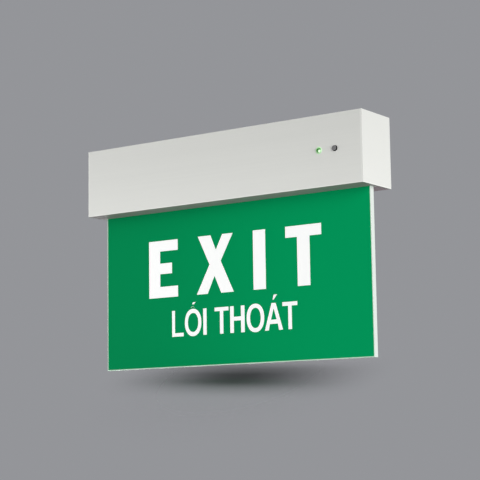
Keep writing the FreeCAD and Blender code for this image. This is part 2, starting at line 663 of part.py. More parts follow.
def panel_screws():
    """The three screws across the channel, with their nuts on the rear rib."""
    made = body("panel_screws")
    drawn = outline(sketch(made, "XY_Plane"), [
        ("0", f"(-{RIB_FACE} - head_height)"),
        ("(head_radius - head_height / 2)", f"(-{RIB_FACE} - head_height)"),
        ("head_radius", f"(-{RIB_FACE} - head_height / 2)"),
        ("head_radius", f"(-{RIB_FACE})"),
        ("thread_radius", f"(-{RIB_FACE})"),
        ("thread_radius", f"({RIB_FACE} + nut_height + thread_radius / 2)"),
        ("0", f"({RIB_FACE} + nut_height + thread_radius / 2)"),
    ])
    row(made, revolve(made, drawn), "X_Axis", "2 * panel_screw_spacing", "3")
    place(made, "-panel_screw_spacing", "0", f"{UNDERSIDE} + panel_screw_height")
    node(made, "panel_screws")
    nuts = [hex_nut("panel_nut", "nut_radius", "nut_height", "thread_radius", step, RIB_FACE,
                    f"{UNDERSIDE} + panel_screw_height", axis=(0, 1, 0))
            for step in ("-panel_screw_spacing", "0", "panel_screw_spacing")]
    node(group("nuts", nuts), "panel_nuts")


def hex_nut(name, corners, height, thread, x, y, z, axis):
    """A plain hexagon nut from a place, along an axis."""
    blank = hexagon(name + "_blank", corners, height, x, y, z, axis)
    return cut(name, blank, [rod(name + "_thread", f"({thread}) + thread_gap", height, x, y, z, axis)])


def light_board():
    """The long board under the channel's web, and the row of lamp chips that faces the guide."""
    node(block("board_strip", (f"-{LEGEND_HALF}", LEGEND_HALF),
               ("-light_board_width / 2", "light_board_width / 2"), (LIGHT_FACE, WEB_FACE)), "light_board")
    made = body("light_chips")
    first = f"(chip_margin - {LEGEND_HALF})"
    drawn = rectangle(sketch(made, "XY_Plane", CHIP_FACE), f"({first} - chip_length / 2)",
                      f"({first} + chip_length / 2)", "(-chip_width / 2)", "(chip_width / 2)")
    row(made, pad(made, drawn, "chip_height"), "X_Axis", f"2 * ({LEGEND_HALF} - chip_margin)", "chip_count")
    node(made, "light_chips")


# ---- the indicator lamp and the test button ----

def indicator_lamp():
    """The domed lamp with its two leads, the bezel in front and the spacer behind."""
    lamp = body("indicator_lamp")
    drawn = outline(sketch(lamp, "XY_Plane"), [
        ("0", "(-lamp_radius)", "lamp_radius"),
        ("lamp_radius", "0"),
        ("lamp_radius", "(lamp_body - lamp_base_height)"),
        ("lamp_base_radius", "(lamp_body - lamp_base_height)"),
        ("lamp_base_radius", "lamp_body"),
        ("0", "lamp_body"),
    ])
    revolve(lamp, drawn)
    leads = sketch(lamp, "XZ_Plane", "(-lamp_body)")
    for side in ("-", ""):
        circle(leads, f"({side}lamp_radius / 2)", "0", "lamp_lead_radius")
    pad(lamp, leads, SPACER_LENGTH, back=True)
    place(lamp, LAMP_X, f"-{HALF_DEPTH}", "-indicator_drop")
    node(lamp, "indicator_lamp")

    bezel = body("lamp_bezel")
    drawn = outline(sketch(bezel, "XY_Plane"), [
        ("(lamp_radius + thread_gap)", "(-bezel_thickness)"),
        ("(bezel_radius - bezel_thickness)", "(-bezel_thickness)"),
        ("bezel_radius", "0"),
        ("bezel_barrel", "0"),
        ("bezel_barrel", "bezel_length"),
        ("(lamp_radius + thread_gap)", "bezel_length"),
    ])
    revolve(bezel, drawn)
    place(bezel, LAMP_X, f"-{HALF_DEPTH}", "-indicator_drop")
    node(bezel, "lamp_bezel")

    start = f"lamp_body - {HALF_DEPTH}"
    outer = rod("spacer_blank", "lamp_base_radius", SPACER_LENGTH, LAMP_X, start, "-indicator_drop", (0, 1, 0))
    bore = rod("spacer_bore", "lamp_radius / 2 + 2 * lamp_lead_radius", SPACER_LENGTH, LAMP_X, start,
               "-indicator_drop", (0, 1, 0))
    node(cut("spacer", outer, [bore]), "lamp_spacer")


def test_button():
    """The sprung cap, with a collar behind the wall and a stem that reaches into the switch."""
    made = body("test_button")
    collar = "(wall_thickness + collar_gap)"
    end = "(wall_thickness + indicator_standoff - switch_height + stem_engagement)"
    drawn = outline(sketch(made, "XY_Plane"), [
        ("0", "(-button_proud)"),
        ("(button_radius - button_rounding)", "(-button_proud)", "button_rounding"),
        ("button_radius", "(button_rounding - button_proud)"),
        ("button_radius", collar),
        ("button_collar", collar),
        ("button_collar", f"({collar} + collar_thickness)"),
        ("stem_radius", f"({collar} + collar_thickness)"),
        ("stem_radius", end),
        ("0", end),
    ])
    revolve(made, drawn)
    place(made, BUTTON_X, f"-{HALF_DEPTH}", "-indicator_drop")
    node(made, "test_button")


def test_switch():
    """The momentary switch under the button, with a bore for the button's stem."""
    half = "switch_size / 2"
    face = f"({INDICATOR_FACE} - switch_height)"
    case = block("switch_case", (f"{BUTTON_X} - {half}", f"{BUTTON_X} + {half}"), (face, INDICATOR_FACE),
                 (f"-indicator_drop - {half}", f"{half} - indicator_drop"))
    bore = rod("switch_bore_tool", "switch_bore", "switch_depth", BUTTON_X, face, "-indicator_drop", (0, 1, 0))
    node(cut("switch", case, [bore]), "test_switch")


def indicator_board():
    """The small board behind the front wall, its two standoffs and their screws."""
    posts = (f"({LAMP_X} - standoff_offset)", f"({BUTTON_X} + standoff_offset)")
    back = f"({INDICATOR_FACE} + board_thickness)"
    half = "indicator_board_height / 2"
    board = block("indicator_blank", (f"{posts[0]} - board_margin", f"{posts[1]} + board_margin"),
                  (INDICATOR_FACE, back), (f"-indicator_drop - {half}", f"{half} - indicator_drop"))
    holes = [rod("indicator_hole", CLEARANCE_HOLE, "board_thickness", x, INDICATOR_FACE, "-indicator_drop",
                 (0, 1, 0)) for x in posts]
    node(cut("indicator", board, holes), "indicator_board")

    standoffs = []
    for x in posts:
        post = rod("post_blank", "post_radius", "indicator_standoff", x, f"-{WALL_FACE}", "-indicator_drop",
                   (0, 1, 0))
        thread = rod("post_thread", THREAD_HOLE, "indicator_standoff / 2 + thread_gap", x,
                     f"{INDICATOR_FACE} - indicator_standoff / 2 - thread_gap", "-indicator_drop", (0, 1, 0))
        standoffs.append(cut("post", post, [thread]))
    node(group("posts", standoffs), "indicator_standoffs")

    screws = []
    for x in posts:
        shank = rod("post_shank", "thread_radius", "indicator_standoff / 2 + board_thickness", x,
                    f"{INDICATOR_FACE} - indicator_standoff / 2", "-indicator_drop", (0, 1, 0))
        head = rod("post_head", "post_radius", "head_height", x, back, "-indicator_drop", (0, 1, 0))
        screws.append(fuse("post_screw", [shank, head]))
    node(group("post_screws", screws), "indicator_screws")


# ---- the battery ----

def battery():
    """Three cells end to end in one shrunk sleeve, and the two clips that hold them."""
    pack = body("battery_pack")
    neck = "(cell_radius - cell_neck)"
    corners = [("0", "0"), ("0", neck)]
    for cell in range(3):
        start, end = f"({cell} * cell_length)", f"({cell + 1} * cell_length)"
        corners.append((f"({start} + cell_neck)", "cell_radius"))
        corners.append((f"({end} - cell_neck)", "cell_radius"))
        corners.append((end, neck))
    corners.append(("(3 * cell_length)", "0"))
    revolve(pack, outline(sketch(pack, "XY_Plane"), corners), "H_Axis")
    place(pack, BATTERY_LEFT, BATTERY_BACK, BATTERY_AXIS)
    node(pack, "battery_pack")

    clips = []
    for middle in CLIPS:
        low = f"({middle} - clip_width / 2)"
        high = f"({middle} + clip_width / 2)"
        along = (1, 0, 0)
        ring = rod("clip_ring", CLIP_RADIUS, "clip_width", low, BATTERY_BACK, BATTERY_AXIS, along)
        foot = block("clip_foot_block", (low, high),
                     (f"{BATTERY_BACK} - clip_foot / 2", f"{BATTERY_BACK} + clip_foot / 2"),
                     (f"{BATTERY_AXIS} + cell_radius - clip_thickness", PLATE_FACE))
        peg = rod("clip_peg_rod", "clip_peg", "plate_thickness", middle, BATTERY_BACK, PLATE_FACE)
        seat = rod("clip_seat", "cell_radius + thread_gap", "clip_width", low, BATTERY_BACK, BATTERY_AXIS,
                   along)
        mouth = block("clip_mouth_block", (low, high),
                      (f"{BATTERY_BACK} - {CLIP_RADIUS}", f"{BATTERY_BACK} + {CLIP_RADIUS}"),
                      (f"{BATTERY_AXIS} - {CLIP_RADIUS}", f"{BATTERY_AXIS} - clip_mouth"))
        clips.append(cut("clip", fuse("clip_solid", [ring, foot, peg]), [seat, mouth]))
    node(group("clips", clips), "battery_clips")


# ---- the control board ----

def control_board():
    """The board under the plate, its four standoffs and their screws."""
    board = block("control_blank", (CONTROL_LEFT, CONTROL_RIGHT), ("-control_width / 2", "control_width / 2"),
                  (CONTROL_FACE, CONTROL_TOP))
    holes = [rod("control_hole", CLEARANCE_HOLE, "board_thickness", x, y, CONTROL_FACE)
             for x, y in CONTROL_POSTS]
    node(cut("control", board, holes), "control_board")
    standoffs, screws = [], []
    reach = "(control_standoff / 2)"
    for x, y in CONTROL_POSTS:
        post = hexagon("standoff_blank", "control_post_radius", "control_standoff", x, y, CONTROL_TOP)
        thread = rod("standoff_thread", THREAD_HOLE, f"{reach} + thread_gap", x, y, CONTROL_TOP)
        standoffs.append(cut("standoff", post, [thread]))
        head = rod("board_head", "head_radius", "head_height", x, y, f"{CONTROL_FACE} - head_height")
        shank = rod("board_shank", "thread_radius", f"{reach} + board_thickness", x, y, CONTROL_FACE)
        screws.append(fuse("board_screw", [head, shank]))
    node(group("standoffs", standoffs), "board_standoffs")
    node(group("board_screw_set", screws), "board_screws")


def on_board(name, left, front, length, width, height):
    """A block that hangs from the control board's component side."""
    return block(name, (left, f"{left} + {length}"), (front, f"{front} + {width}"),
                 (f"{CONTROL_FACE} - {height}", CONTROL_FACE))


def control_parts():
    """The parts on the control board: transformer, capacitors, relay, chip and wire headers."""
    left = f"({CONTROL_LEFT} + transformer_left)"
    core = on_board("core", left, "(-transformer_width / 2)", "transformer_length", "transformer_width",
                    "transformer_height")
    winding = block("winding", (f"{left} + winding_bulge", f"{left} + transformer_length - winding_bulge"),
                    ("-transformer_width / 2 - winding_bulge", "transformer_width / 2 + winding_bulge"),
                    (f"{CONTROL_FACE} + winding_bulge - transformer_height", f"{CONTROL_FACE} - winding_bulge"))
    node(fuse("transformer_solid", [core, winding]), "transformer")

    row_left = f"({CONTROL_LEFT} + capacitor_left)"
    cans = [rod("can", "capacitor_radius", "capacitor_height", f"{row_left} + {step} * capacitor_spacing",
                "capacitor_spacing / 2", f"{CONTROL_FACE} - capacitor_height") for step in (0, 1)]
    node(group("cans", cans), "electrolytic_capacitors")
    node(on_board("relay_case", f"({row_left} - capacitor_radius)", "(-relay_width)", "relay_length",
                  "relay_width", "relay_height"), "relay")
    node(on_board("film", f"({CONTROL_LEFT} + film_left)", "(-film_width / 2)", "film_length",
                  "film_width", "film_height"), "film_capacitor")
    node(on_board("chip_case", f"({row_left} + capacitor_spacing + capacitor_radius + chip_gap)",
                  "(-chip_body_width / 2)", "chip_body_length", "chip_body_width", "chip_body_height"),
         "control_chip")

    headers = []
    for step in (-1, 0, 1):
        x = f"({CONTROL_RIGHT} - header_inset)"
        y = f"({step} * header_spacing - header_width / 2)"
        case = on_board("header_case", x, y, "header_length", "header_width", "header_height")
        well = block("header_well", (f"{x} + header_wall", f"{x} + header_length - header_wall"),
                     (f"{y} + header_wall", f"{y} + header_width - header_wall"),
                     (f"{CONTROL_FACE} - header_height", f"{CONTROL_FACE} - 2 * header_wall"))
        headers.append(cut("header", case, [well]))
    node(group("headers", headers), "wire_headers")


# ---- the mains terminals ----

def terminals():
    """The mains terminal block with its screws, and the earth stud with its nut."""
    foot = f"({PLATE_FACE} - terminal_height)"
    front = f"(terminal_gap - {FLANGE_FACE})"
    middle = f"({front} + terminal_width / 2)"
    case = block("terminal_case", ("-terminal_left", "terminal_length - terminal_left"),
                 (front, f"{front} + terminal_width"), (foot, PLATE_FACE))
    poles = [f"(terminal_length / 2 - terminal_left + {step} * terminal_pitch)" for step in (-1, 0, 1)]
    ways = [rod("terminal_way_tool", "terminal_way", "terminal_width", x, front, f"{foot} + terminal_height / 2",
                (0, 1, 0)) for x in poles]
    wells = [rod("terminal_well_tool", "terminal_well", "terminal_height / 2", x, middle, foot) for x in poles]
    node(cut("terminal", case, ways + wells), "terminal_block")
    screws = [rod("terminal_screw_rod", "terminal_screw", "terminal_height / 2 - terminal_depth - terminal_way",
                  x, middle, f"{foot} + terminal_depth") for x in poles]
    slots = [block("screw_slot", (f"{x} - terminal_screw", f"{x} + terminal_screw"),
                   (f"{middle} - slot_width / 2", f"{middle} + slot_width / 2"),
                   (f"{foot} + terminal_depth", f"{foot} + terminal_depth + slot_depth")) for x in poles]
    node(group("terminal_set", [cut("slotted_screw", screw, [way]) for screw, way in zip(screws, slots)]),
         "terminal_screws")

    stud = ("-stud_offset", f"stud_gap - {FLANGE_FACE}")
    node(rod("stud", "stud_radius", "stud_length", *stud, f"{PLATE_FACE} - stud_length"), "earth_stud")
    node(hex_nut("stud_nut", "stud_nut_radius", "stud_nut_height", "stud_radius", *stud,
                 f"{PLATE_FACE} - stud_nut_drop - stud_nut_height", (0, 0, 1)), "earth_nut")


def check_and_write():
    """Makes sure that every object and shape is sound, then writes one file for each node."""
    DOC.recompute()
    for item in DOC.Objects:
        if {"Invalid", "Error"} & set(item.State):
            raise RuntimeError(f"{item.Label} failed: {item.State}")
    for item in NODES:
        if item.Shape.isNull() or not item.Shape.isValid() or not item.Shape.Solids:
            raise RuntimeError(f"{item.Label} has no valid shape")
    os.makedirs("parts", exist_ok=True)
    for item in NODES:
        item.Shape.exportStep(os.path.join("parts", item.Label + ".step"))
        print(f"{item.Label}: {len(item.Shape.Solids)} solids, {item.Shape.Volume / 1000:.2f} cm3")


def main():
    """Builds every sub-part from the sheet and writes them out."""
    fill_sheet()
    housing_profile()
    end_cap("end_cap_left", "-")
    end_cap("end_cap_right", "+")
    ceiling_plate()
    cable_grommet()
    cover_screws()
    panel_sheet("light_guide", "-guide_thickness / 2", "guide_thickness / 2")
    panel_sheet("legend_sheet", f"-{PANEL_HALF}", "-guide_thickness / 2")
    panel_sheet("reflector_sheet", "guide_thickness / 2", PANEL_HALF)
    edge_strips()
    panel_screws()
    light_board()
    indicator_lamp()
    test_button()
    test_switch()
    indicator_board()
    battery()
    control_board()
    control_parts()
    terminals()
    check_and_write()


main()
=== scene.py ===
"""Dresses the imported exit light: finishes for every part, the legend's letters, studio and camera.

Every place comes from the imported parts, in metres, with +X to the right as the sign is read,
+Y to its back and +Z up. Sizes of the scene's own pieces are in millimetres times MM.
"""

import logging
import math
from collections.abc import Iterable, Sequence
from dataclasses import dataclass, field, replace
from enum import Enum

import bmesh
import bpy
from mathutils import Euler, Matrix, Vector


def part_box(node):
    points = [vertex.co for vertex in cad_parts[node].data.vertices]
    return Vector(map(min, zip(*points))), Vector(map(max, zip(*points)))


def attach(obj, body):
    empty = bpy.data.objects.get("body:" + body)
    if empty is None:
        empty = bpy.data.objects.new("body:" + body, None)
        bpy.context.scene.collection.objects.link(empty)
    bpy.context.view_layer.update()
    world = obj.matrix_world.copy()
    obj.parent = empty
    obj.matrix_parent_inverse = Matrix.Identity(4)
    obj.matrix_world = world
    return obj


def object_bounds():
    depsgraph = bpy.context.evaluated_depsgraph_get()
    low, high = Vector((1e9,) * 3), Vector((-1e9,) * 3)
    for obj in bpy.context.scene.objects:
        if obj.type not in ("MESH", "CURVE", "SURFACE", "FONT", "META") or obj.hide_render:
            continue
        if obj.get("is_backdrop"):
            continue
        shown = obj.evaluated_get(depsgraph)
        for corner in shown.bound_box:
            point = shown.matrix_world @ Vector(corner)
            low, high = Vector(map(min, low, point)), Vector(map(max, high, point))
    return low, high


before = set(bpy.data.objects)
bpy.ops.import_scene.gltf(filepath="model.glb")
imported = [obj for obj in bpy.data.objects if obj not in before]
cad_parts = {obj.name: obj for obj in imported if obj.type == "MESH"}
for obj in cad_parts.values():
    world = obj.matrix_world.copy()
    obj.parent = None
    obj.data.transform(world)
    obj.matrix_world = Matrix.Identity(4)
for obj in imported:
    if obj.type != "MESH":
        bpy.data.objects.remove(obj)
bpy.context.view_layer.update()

MM = 0.001
BODY = "sign"
FRAME_WIDTH = 36.0   # width that the lens's focal length is stated for, in millimetres
BANK_STAND = 3.0     # how far off a bank is put, in metres; its light is the same from any distance
CORNER_STEPS = 1000  # places to a millimetre at which a letter's corners are told apart
QUAD = 4             # faces with more corners than this are cut into triangles
LOG = logging.getLogger("exit_light")

Colour = tuple[float, float, float]
Point = tuple[float, float]
Outline = list[Point]


# ---------------------------------------------------------------- finishes


class Grain(Enum):
    """The fine surface that a finish has."""

    DRAWN = "lines along the extrusion"
    COATED = "soft ripple of a powder coat"
    MOULDED = "even texture of a moulding"
    POLISHED = "almost nothing"
    TURNED = "fine marks of machining"


@dataclass(frozen=True)
class GrainSize:
    """How a grain is made from noise.

    Attributes:
        stretch: how many grains lie in a metre along X, Y and Z.
        depth: height of the bump, in metres.
        strength: strength of the bump.
    """

    stretch: tuple[float, float, float]
    depth: float
    strength: float


GRAINS: dict[Grain, GrainSize] = {
    Grain.DRAWN: GrainSize((14.0, 900.0, 1500.0), 0.02 * MM, 0.10),
    Grain.COATED: GrainSize((900.0, 900.0, 900.0), 0.05 * MM, 0.12),
    Grain.MOULDED: GrainSize((2600.0, 2600.0, 2600.0), 0.03 * MM, 0.16),
    Grain.POLISHED: GrainSize((120.0, 120.0, 120.0), 0.01 * MM, 0.05),
    Grain.TURNED: GrainSize((3000.0, 3000.0, 9000.0), 0.02 * MM, 0.20),
}

DRIFT_SCALE, DRIFT_DETAIL = (25.0, 25.0, 25.0), 3.0         # slow drift of a colour
STREAK_SCALE, STREAK_DETAIL = (3.0, 260.0, 420.0), 5.0      # streaks along the extrusion
NOISE_LOW, NOISE_HIGH = 0.3, 0.7                            # middle range of a noise
FACING_START, FACING_FULL = 0.5, 0.9                        # shares of a normal that count as facing
MIX_FACTOR, MIX_FIRST, MIX_SECOND, MIX_RESULT = 0, 6, 7, 2  # sockets of a mix node for colours

# Each material by its name, so that it is built once.
MADE: dict[str, bpy.types.Material] = {}


class Nodes:
    """A material's node tree, with short ways to add and join its nodes."""

    def __init__(self, name: str) -> None:
        """Starts an empty material.

        Args:
            name: the material's name.
        """
        self.material = bpy.data.materials.new(name)
        self.material.use_nodes = True
        self.tree = self.material.node_tree
        self.tree.nodes.clear()
        self.output = self.add("ShaderNodeOutputMaterial")

    def add(self, kind: str, **settings: object) -> bpy.types.Node:
        """Adds a node and sets its properties.

        Args:
            kind: the node's class name.
            settings: properties of the node.

        Returns:
            The new node.
        """
        node = self.tree.nodes.new(kind)
        for name, value in settings.items():
            setattr(node, name, value)
        return node

    def join(self, start: bpy.types.NodeSocket, end: bpy.types.NodeSocket) -> None:
        """Links an output to an input."""
        self.tree.links.new(start, end)

    def noise(self, scale: Sequence[float], detail: float = 4.0) -> bpy.types.NodeSocket:
        """Adds noise on the object's own coordinates.

        Args:
            scale: grains in a metre along each axis.
            detail: octaves of the noise.

        Returns:
            The noise's value, about 0.5 on average.
        """
        place = self.add("ShaderNodeTexCoord")
        mapping = self.add("ShaderNodeMapping")
        mapping.inputs["Scale"].default_value = scale
        noise = self.add("ShaderNodeTexNoise")
        noise.inputs["Scale"].default_value = 1.0
        noise.inputs["Detail"].default_value = detail
        self.join(place.outputs["Object"], mapping.inputs["Vector"])
        self.join(mapping.outputs["Vector"], noise.inputs["Vector"])
        return noise.outputs["Fac"]

    def along(self, axis: str, start: float, end: float) -> bpy.types.NodeSocket:
        """Gives a ramp along one axis of the object.

        Args:
            axis: X, Y or Z.
            start: place where the ramp is 0, in metres.
            end: place where it is 1.

        Returns:
            The ramp's value, from 0 to 1.
        """
        place = self.add("ShaderNodeTexCoord")
        split = self.add("ShaderNodeSeparateXYZ")
        ramp = self.add("ShaderNodeMapRange", clamp=True, interpolation_type="SMOOTHSTEP")
        ramp.inputs["From Min"].default_value = start
        ramp.inputs["From Max"].default_value = end
        self.join(place.outputs["Object"], split.inputs["Vector"])
        self.join(split.outputs[axis], ramp.inputs["Value"])
        return ramp.outputs["Result"]

    def near(self, centre: Vector, inner: float, outer: float) -> bpy.types.NodeSocket:
        """Gives a value that is 1 near a place and falls to 0 away from it.

        Args:
            centre: the place, in metres.
            inner: distance within which the value is 1.
            outer: distance beyond which it is 0.

        Returns:
            The value, from 0 to 1.
        """
        place = self.add("ShaderNodeTexCoord")
        away = self.add("ShaderNodeVectorMath", operation="DISTANCE")
        away.inputs[1].default_value = centre
        ramp = self.add("ShaderNodeMapRange", clamp=True, interpolation_type="SMOOTHSTEP")
        ramp.inputs["From Min"].default_value = outer
        ramp.inputs["From Max"].default_value = inner
        self.join(place.outputs["Object"], away.inputs[0])
        self.join(away.outputs["Value"], ramp.inputs["Value"])
        return ramp.outputs["Result"]

    def blend(self, amount: bpy.types.NodeSocket, low: Colour, high: Colour) -> bpy.types.NodeSocket:
        """Runs from one colour to another.

        Args:
            amount: the value that does it, from 0 to 1.
            low: the colour at 0.
            high: the colour at 1.

        Returns:
            The colour.
        """
        mix = self.add("ShaderNodeMix", data_type="RGBA")
        mix.inputs[MIX_FIRST].default_value = (*low, 1.0)
        mix.inputs[MIX_SECOND].default_value = (*high, 1.0)
        self.join(amount, mix.inputs[MIX_FACTOR])
        return mix.outputs[MIX_RESULT]

    def facing(self, axis: str, way: int) -> bpy.types.NodeSocket:
        """Gives a value that tells which faces of the object look one way along an axis.

        Args:
            axis: X, Y or Z.
            way: 1 for faces that look along the axis, -1 for those that look against it.

        Returns:
            The value, 1 on those faces and 0 elsewhere.
        """
        place = self.add("ShaderNodeTexCoord")
        split = self.add("ShaderNodeSeparateXYZ")
        ramp = self.add("ShaderNodeMapRange", clamp=True)
        ramp.inputs["From Min"].default_value = way * FACING_START
        ramp.inputs["From Max"].default_value = way * FACING_FULL
        self.join(place.outputs["Normal"], split.inputs["Vector"])
        self.join(split.outputs[axis], ramp.inputs["Value"])
        return ramp.outputs["Result"]

    def tint(self, amount: bpy.types.NodeSocket, colour: bpy.types.NodeSocket,
             by: Colour) -> bpy.types.NodeSocket:
        """Multiplies a colour by another in some places.

        Args:
            amount: 1 where it is multiplied and 0 where it is left.
            colour: the colour.
            by: what it is multiplied by.

        Returns:
            The colour.
        """
        mix = self.add("ShaderNodeMix", data_type="RGBA", blend_type="MULTIPLY")
        mix.inputs[MIX_SECOND].default_value = (*by, 1.0)
        self.join(amount, mix.inputs[MIX_FACTOR])
        self.join(colour, mix.inputs[MIX_FIRST])
        return mix.outputs[MIX_RESULT]

    def span(self, amount: bpy.types.NodeSocket, low: float, high: float) -> bpy.types.NodeSocket:
        """Runs from one number to another.

        Args:
            amount: a noise, of which the middle range counts.
            low: the number at that range's foot.
            high: the number at its head.

        Returns:
            The number.
        """
        ramp = self.add("ShaderNodeMapRange", clamp=True)
        ramp.inputs["From Min"].default_value = NOISE_LOW
        ramp.inputs["From Max"].default_value = NOISE_HIGH
        ramp.inputs["To Min"].default_value = low
        ramp.inputs["To Max"].default_value = high
        self.join(amount, ramp.inputs["Value"])
        return ramp.outputs["Result"]

    def bump(self, height: bpy.types.NodeSocket, size: GrainSize) -> bpy.types.NodeSocket:
        """Makes a bump from a height.

        Args:
            height: the height, from 0 to 1.
            size: the grain, for the bump's depth and strength.

        Returns:
            The bumped normal.
        """
        bump = self.add("ShaderNodeBump")
        bump.inputs["Strength"].default_value = size.strength
        bump.inputs["Distance"].default_value = size.depth
        self.join(height, bump.inputs["Height"])
        return bump.outputs["Normal"]


@dataclass(frozen=True)
class Finish:
    """A finish of one material: its colour, gloss and grain.

    Attributes:
        name: the material's name.
        colour: base colour, linear.
        roughness: mean roughness.
        grain: its fine surface.
        metallic: 1 for bare metal.
        swing: how far the colour drifts lighter and darker, as a share.
        drift: how far the roughness drifts.
        coat: weight of a clear coat.
        glow: emission colour, linear.
        glow_strength: strength of that emission.
        gloss: the specular level, 0.5 for an ordinary plastic or paint.
    """

    name: str
    colour: Colour
    roughness: float
    grain: Grain
    metallic: float = 0.0
    gloss: float = 0.5
    swing: float = 0.02
    drift: float = 0.05
    coat: float = 0.0
    glow: Colour = (0.0, 0.0, 0.0)
    glow_strength: float = 0.0

    def shader(self, nodes: Nodes) -> bpy.types.Node:
        """Builds the shader with the sockets that are the same all over.

        Args:
            nodes: the material's tree.

        Returns:
            The shader node, not yet joined to the output.
        """
        shader = nodes.add("ShaderNodeBsdfPrincipled")
        shader.inputs["Metallic"].default_value = self.metallic
        shader.inputs["Specular IOR Level"].default_value = self.gloss
        shader.inputs["Coat Weight"].default_value = self.coat
        if self.glow_strength:
            shader.inputs["Emission Color"].default_value = (*self.glow, 1.0)
            shader.inputs["Emission Strength"].default_value = self.glow_strength
        return shader

    def colouring(self, nodes: Nodes) -> bpy.types.NodeSocket:
        """Gives the base colour with its slow drift, which no real surface is without."""
        return self.graded(nodes, nodes.noise(DRIFT_SCALE, DRIFT_DETAIL), self.swing)

    def graded(self, nodes: Nodes, amount: bpy.types.NodeSocket, swing: float) -> bpy.types.NodeSocket:
        """Swings the base colour lighter and darker by a noise.

        Args:
            nodes: the material's tree.
            amount: the noise.
            swing: how far it swings, as a share.

        Returns:
            The colour.
        """
        low = tuple(part * (1 - swing) for part in self.colour)
        high = tuple(min(part * (1 + swing), 1.0) for part in self.colour)
        return nodes.blend(amount, low, high)

    def material(self) -> bpy.types.Material:
        """Builds the material, once.

        Returns:
            The material of this name.
        """
        if self.name in MADE:
            return MADE[self.name]
        nodes = Nodes(self.name)
        shader = self.shader(nodes)
        size = GRAINS[self.grain]
        grain = nodes.noise(size.stretch)
        rough = nodes.span(grain, self.roughness - self.drift, self.roughness + self.drift)
        nodes.join(self.colouring(nodes), shader.inputs["Base Color"])
        nodes.join(rough, shader.inputs["Roughness"])
        nodes.join(nodes.bump(grain, size), shader.inputs["Normal"])
        nodes.join(shader.outputs[0], nodes.output.inputs["Surface"])
        MADE[self.name] = nodes.material
        return nodes.material


@dataclass(frozen=True)
class ShellFinish(Finish):
    """The satin coat of the housing, with painted shade that darkens it towards the top, on the faces that
    look up and, tinted, on those that look down, and a painted highlight along its lower edge.

    Attributes:
        painted_shade_to_top: how much darker, by painted shade, it is at the ceiling than at the foot, as a
            share.
        streak: how far its lengthwise streaks go lighter and darker, or 0 for none.
        edge: how much lighter the lower edge is, a painted highlight.
        painted_highlight_height: how high that painted highlight is, in metres.
        shade_start_below: how far under the foot the painted shade begins, in metres.
        shade_full_above: how far over the housing's head the painted shade is full, in metres.
        painted_underside_shade: what the underside's colour is multiplied by: painted shade, tinted against
            the legend's green light.
        painted_top_face_shade: what the colour of the rims against the ceiling is multiplied by: painted
            shade.
    """

    painted_shade_to_top: float = 0.1
    streak: float = 0.0
    edge: float = 0.10
    painted_highlight_height: float = 1.4 * MM
    shade_start_below: float = 30 * MM
    shade_full_above: float = 10 * MM
    painted_underside_shade: Colour = (0.485, 0.385, 0.43)
    painted_top_face_shade: Colour = (0.76, 0.76, 0.76)

    def colouring(self, nodes: Nodes) -> bpy.types.NodeSocket:
        """Gives the coat's colour all round the housing, with its painted shade and painted highlight.

        Args:
            nodes: the material's tree.

        Returns:
            The colour.
        """
        foot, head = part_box("housing_profile")
        if self.streak:
            coat = self.graded(nodes, nodes.noise(STREAK_SCALE, STREAK_DETAIL), self.streak)
        else:
            coat = super().colouring(nodes)
        # Painted shade: the coat is made darker towards the top.
        height = nodes.along("Z", foot.z - self.shade_start_below, head.z + self.shade_full_above)
        coat = nodes.tint(height, coat, (1 - self.painted_shade_to_top,) * 3)
        # Painted highlight: the coat is left lighter along its lower edge and darkened over it.
        over_highlight = nodes.along("Z", foot.z + 0.5 * self.painted_highlight_height, foot.z + self.painted_highlight_height)
        coat = nodes.tint(over_highlight, coat, (1 - self.edge,) * 3)
        # Painted shade: faces that look up are darkened.
        coat = nodes.tint(nodes.facing("Z", 1), coat, self.painted_top_face_shade)
        # Painted shade: faces that look down are darkened and tinted against the green bounce.
        return nodes.tint(nodes.facing("Z", -1), coat, self.painted_underside_shade)


@dataclass(frozen=True)
class StripFinish(Finish):
    """The white edge strip, with painted light: the faces that wrap the front are tinted green-white for the
    guide's light showing through.

    Attributes:
        painted_glow_colour: colour of the faces that look to the front, painted light from the guide.
    """

    painted_glow_colour: Colour = (0.80, 1.0, 0.86)

    def colouring(self, nodes: Nodes) -> bpy.types.NodeSocket:
        """Gives white, and the painted green-white light on the faces that look to the front."""
        return nodes.tint(nodes.facing("Y", -1), super().colouring(nodes), self.painted_glow_colour)


@dataclass(frozen=True)
class ClearFinish(Finish):
    """Polished clear acrylic, with a faint tint.

    Attributes:
        ior: its index of refraction.
    """

    ior: float = 1.49

    def shader(self, nodes: Nodes) -> bpy.types.Node:
        """Builds the shader and makes it clear.

        Args:
            nodes: the material's tree.

        Returns:
            The shader node.
        """
        shader = super().shader(nodes)
        shader.inputs["Transmission Weight"].default_value = 1.0
        shader.inputs["IOR"].default_value = self.ior
        return shader


@dataclass(frozen=True)
class LegendFinish(Finish):
    """The green sheet over the light guide, darker towards its left end by painted shade.

    Attributes:
        shaded_left_colour: colour at the left end, darker by painted shade.
    """

    shaded_left_colour: Colour = (0.0, 0.0, 0.0)

    def colouring(self, nodes: Nodes) -> bpy.types.NodeSocket:
        """Gives the green, darker by painted shade at the left end and full at the right."""
        low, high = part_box("legend_sheet")
        return nodes.blend(nodes.along("X", low.x, high.x), self.shaded_left_colour, self.colour)


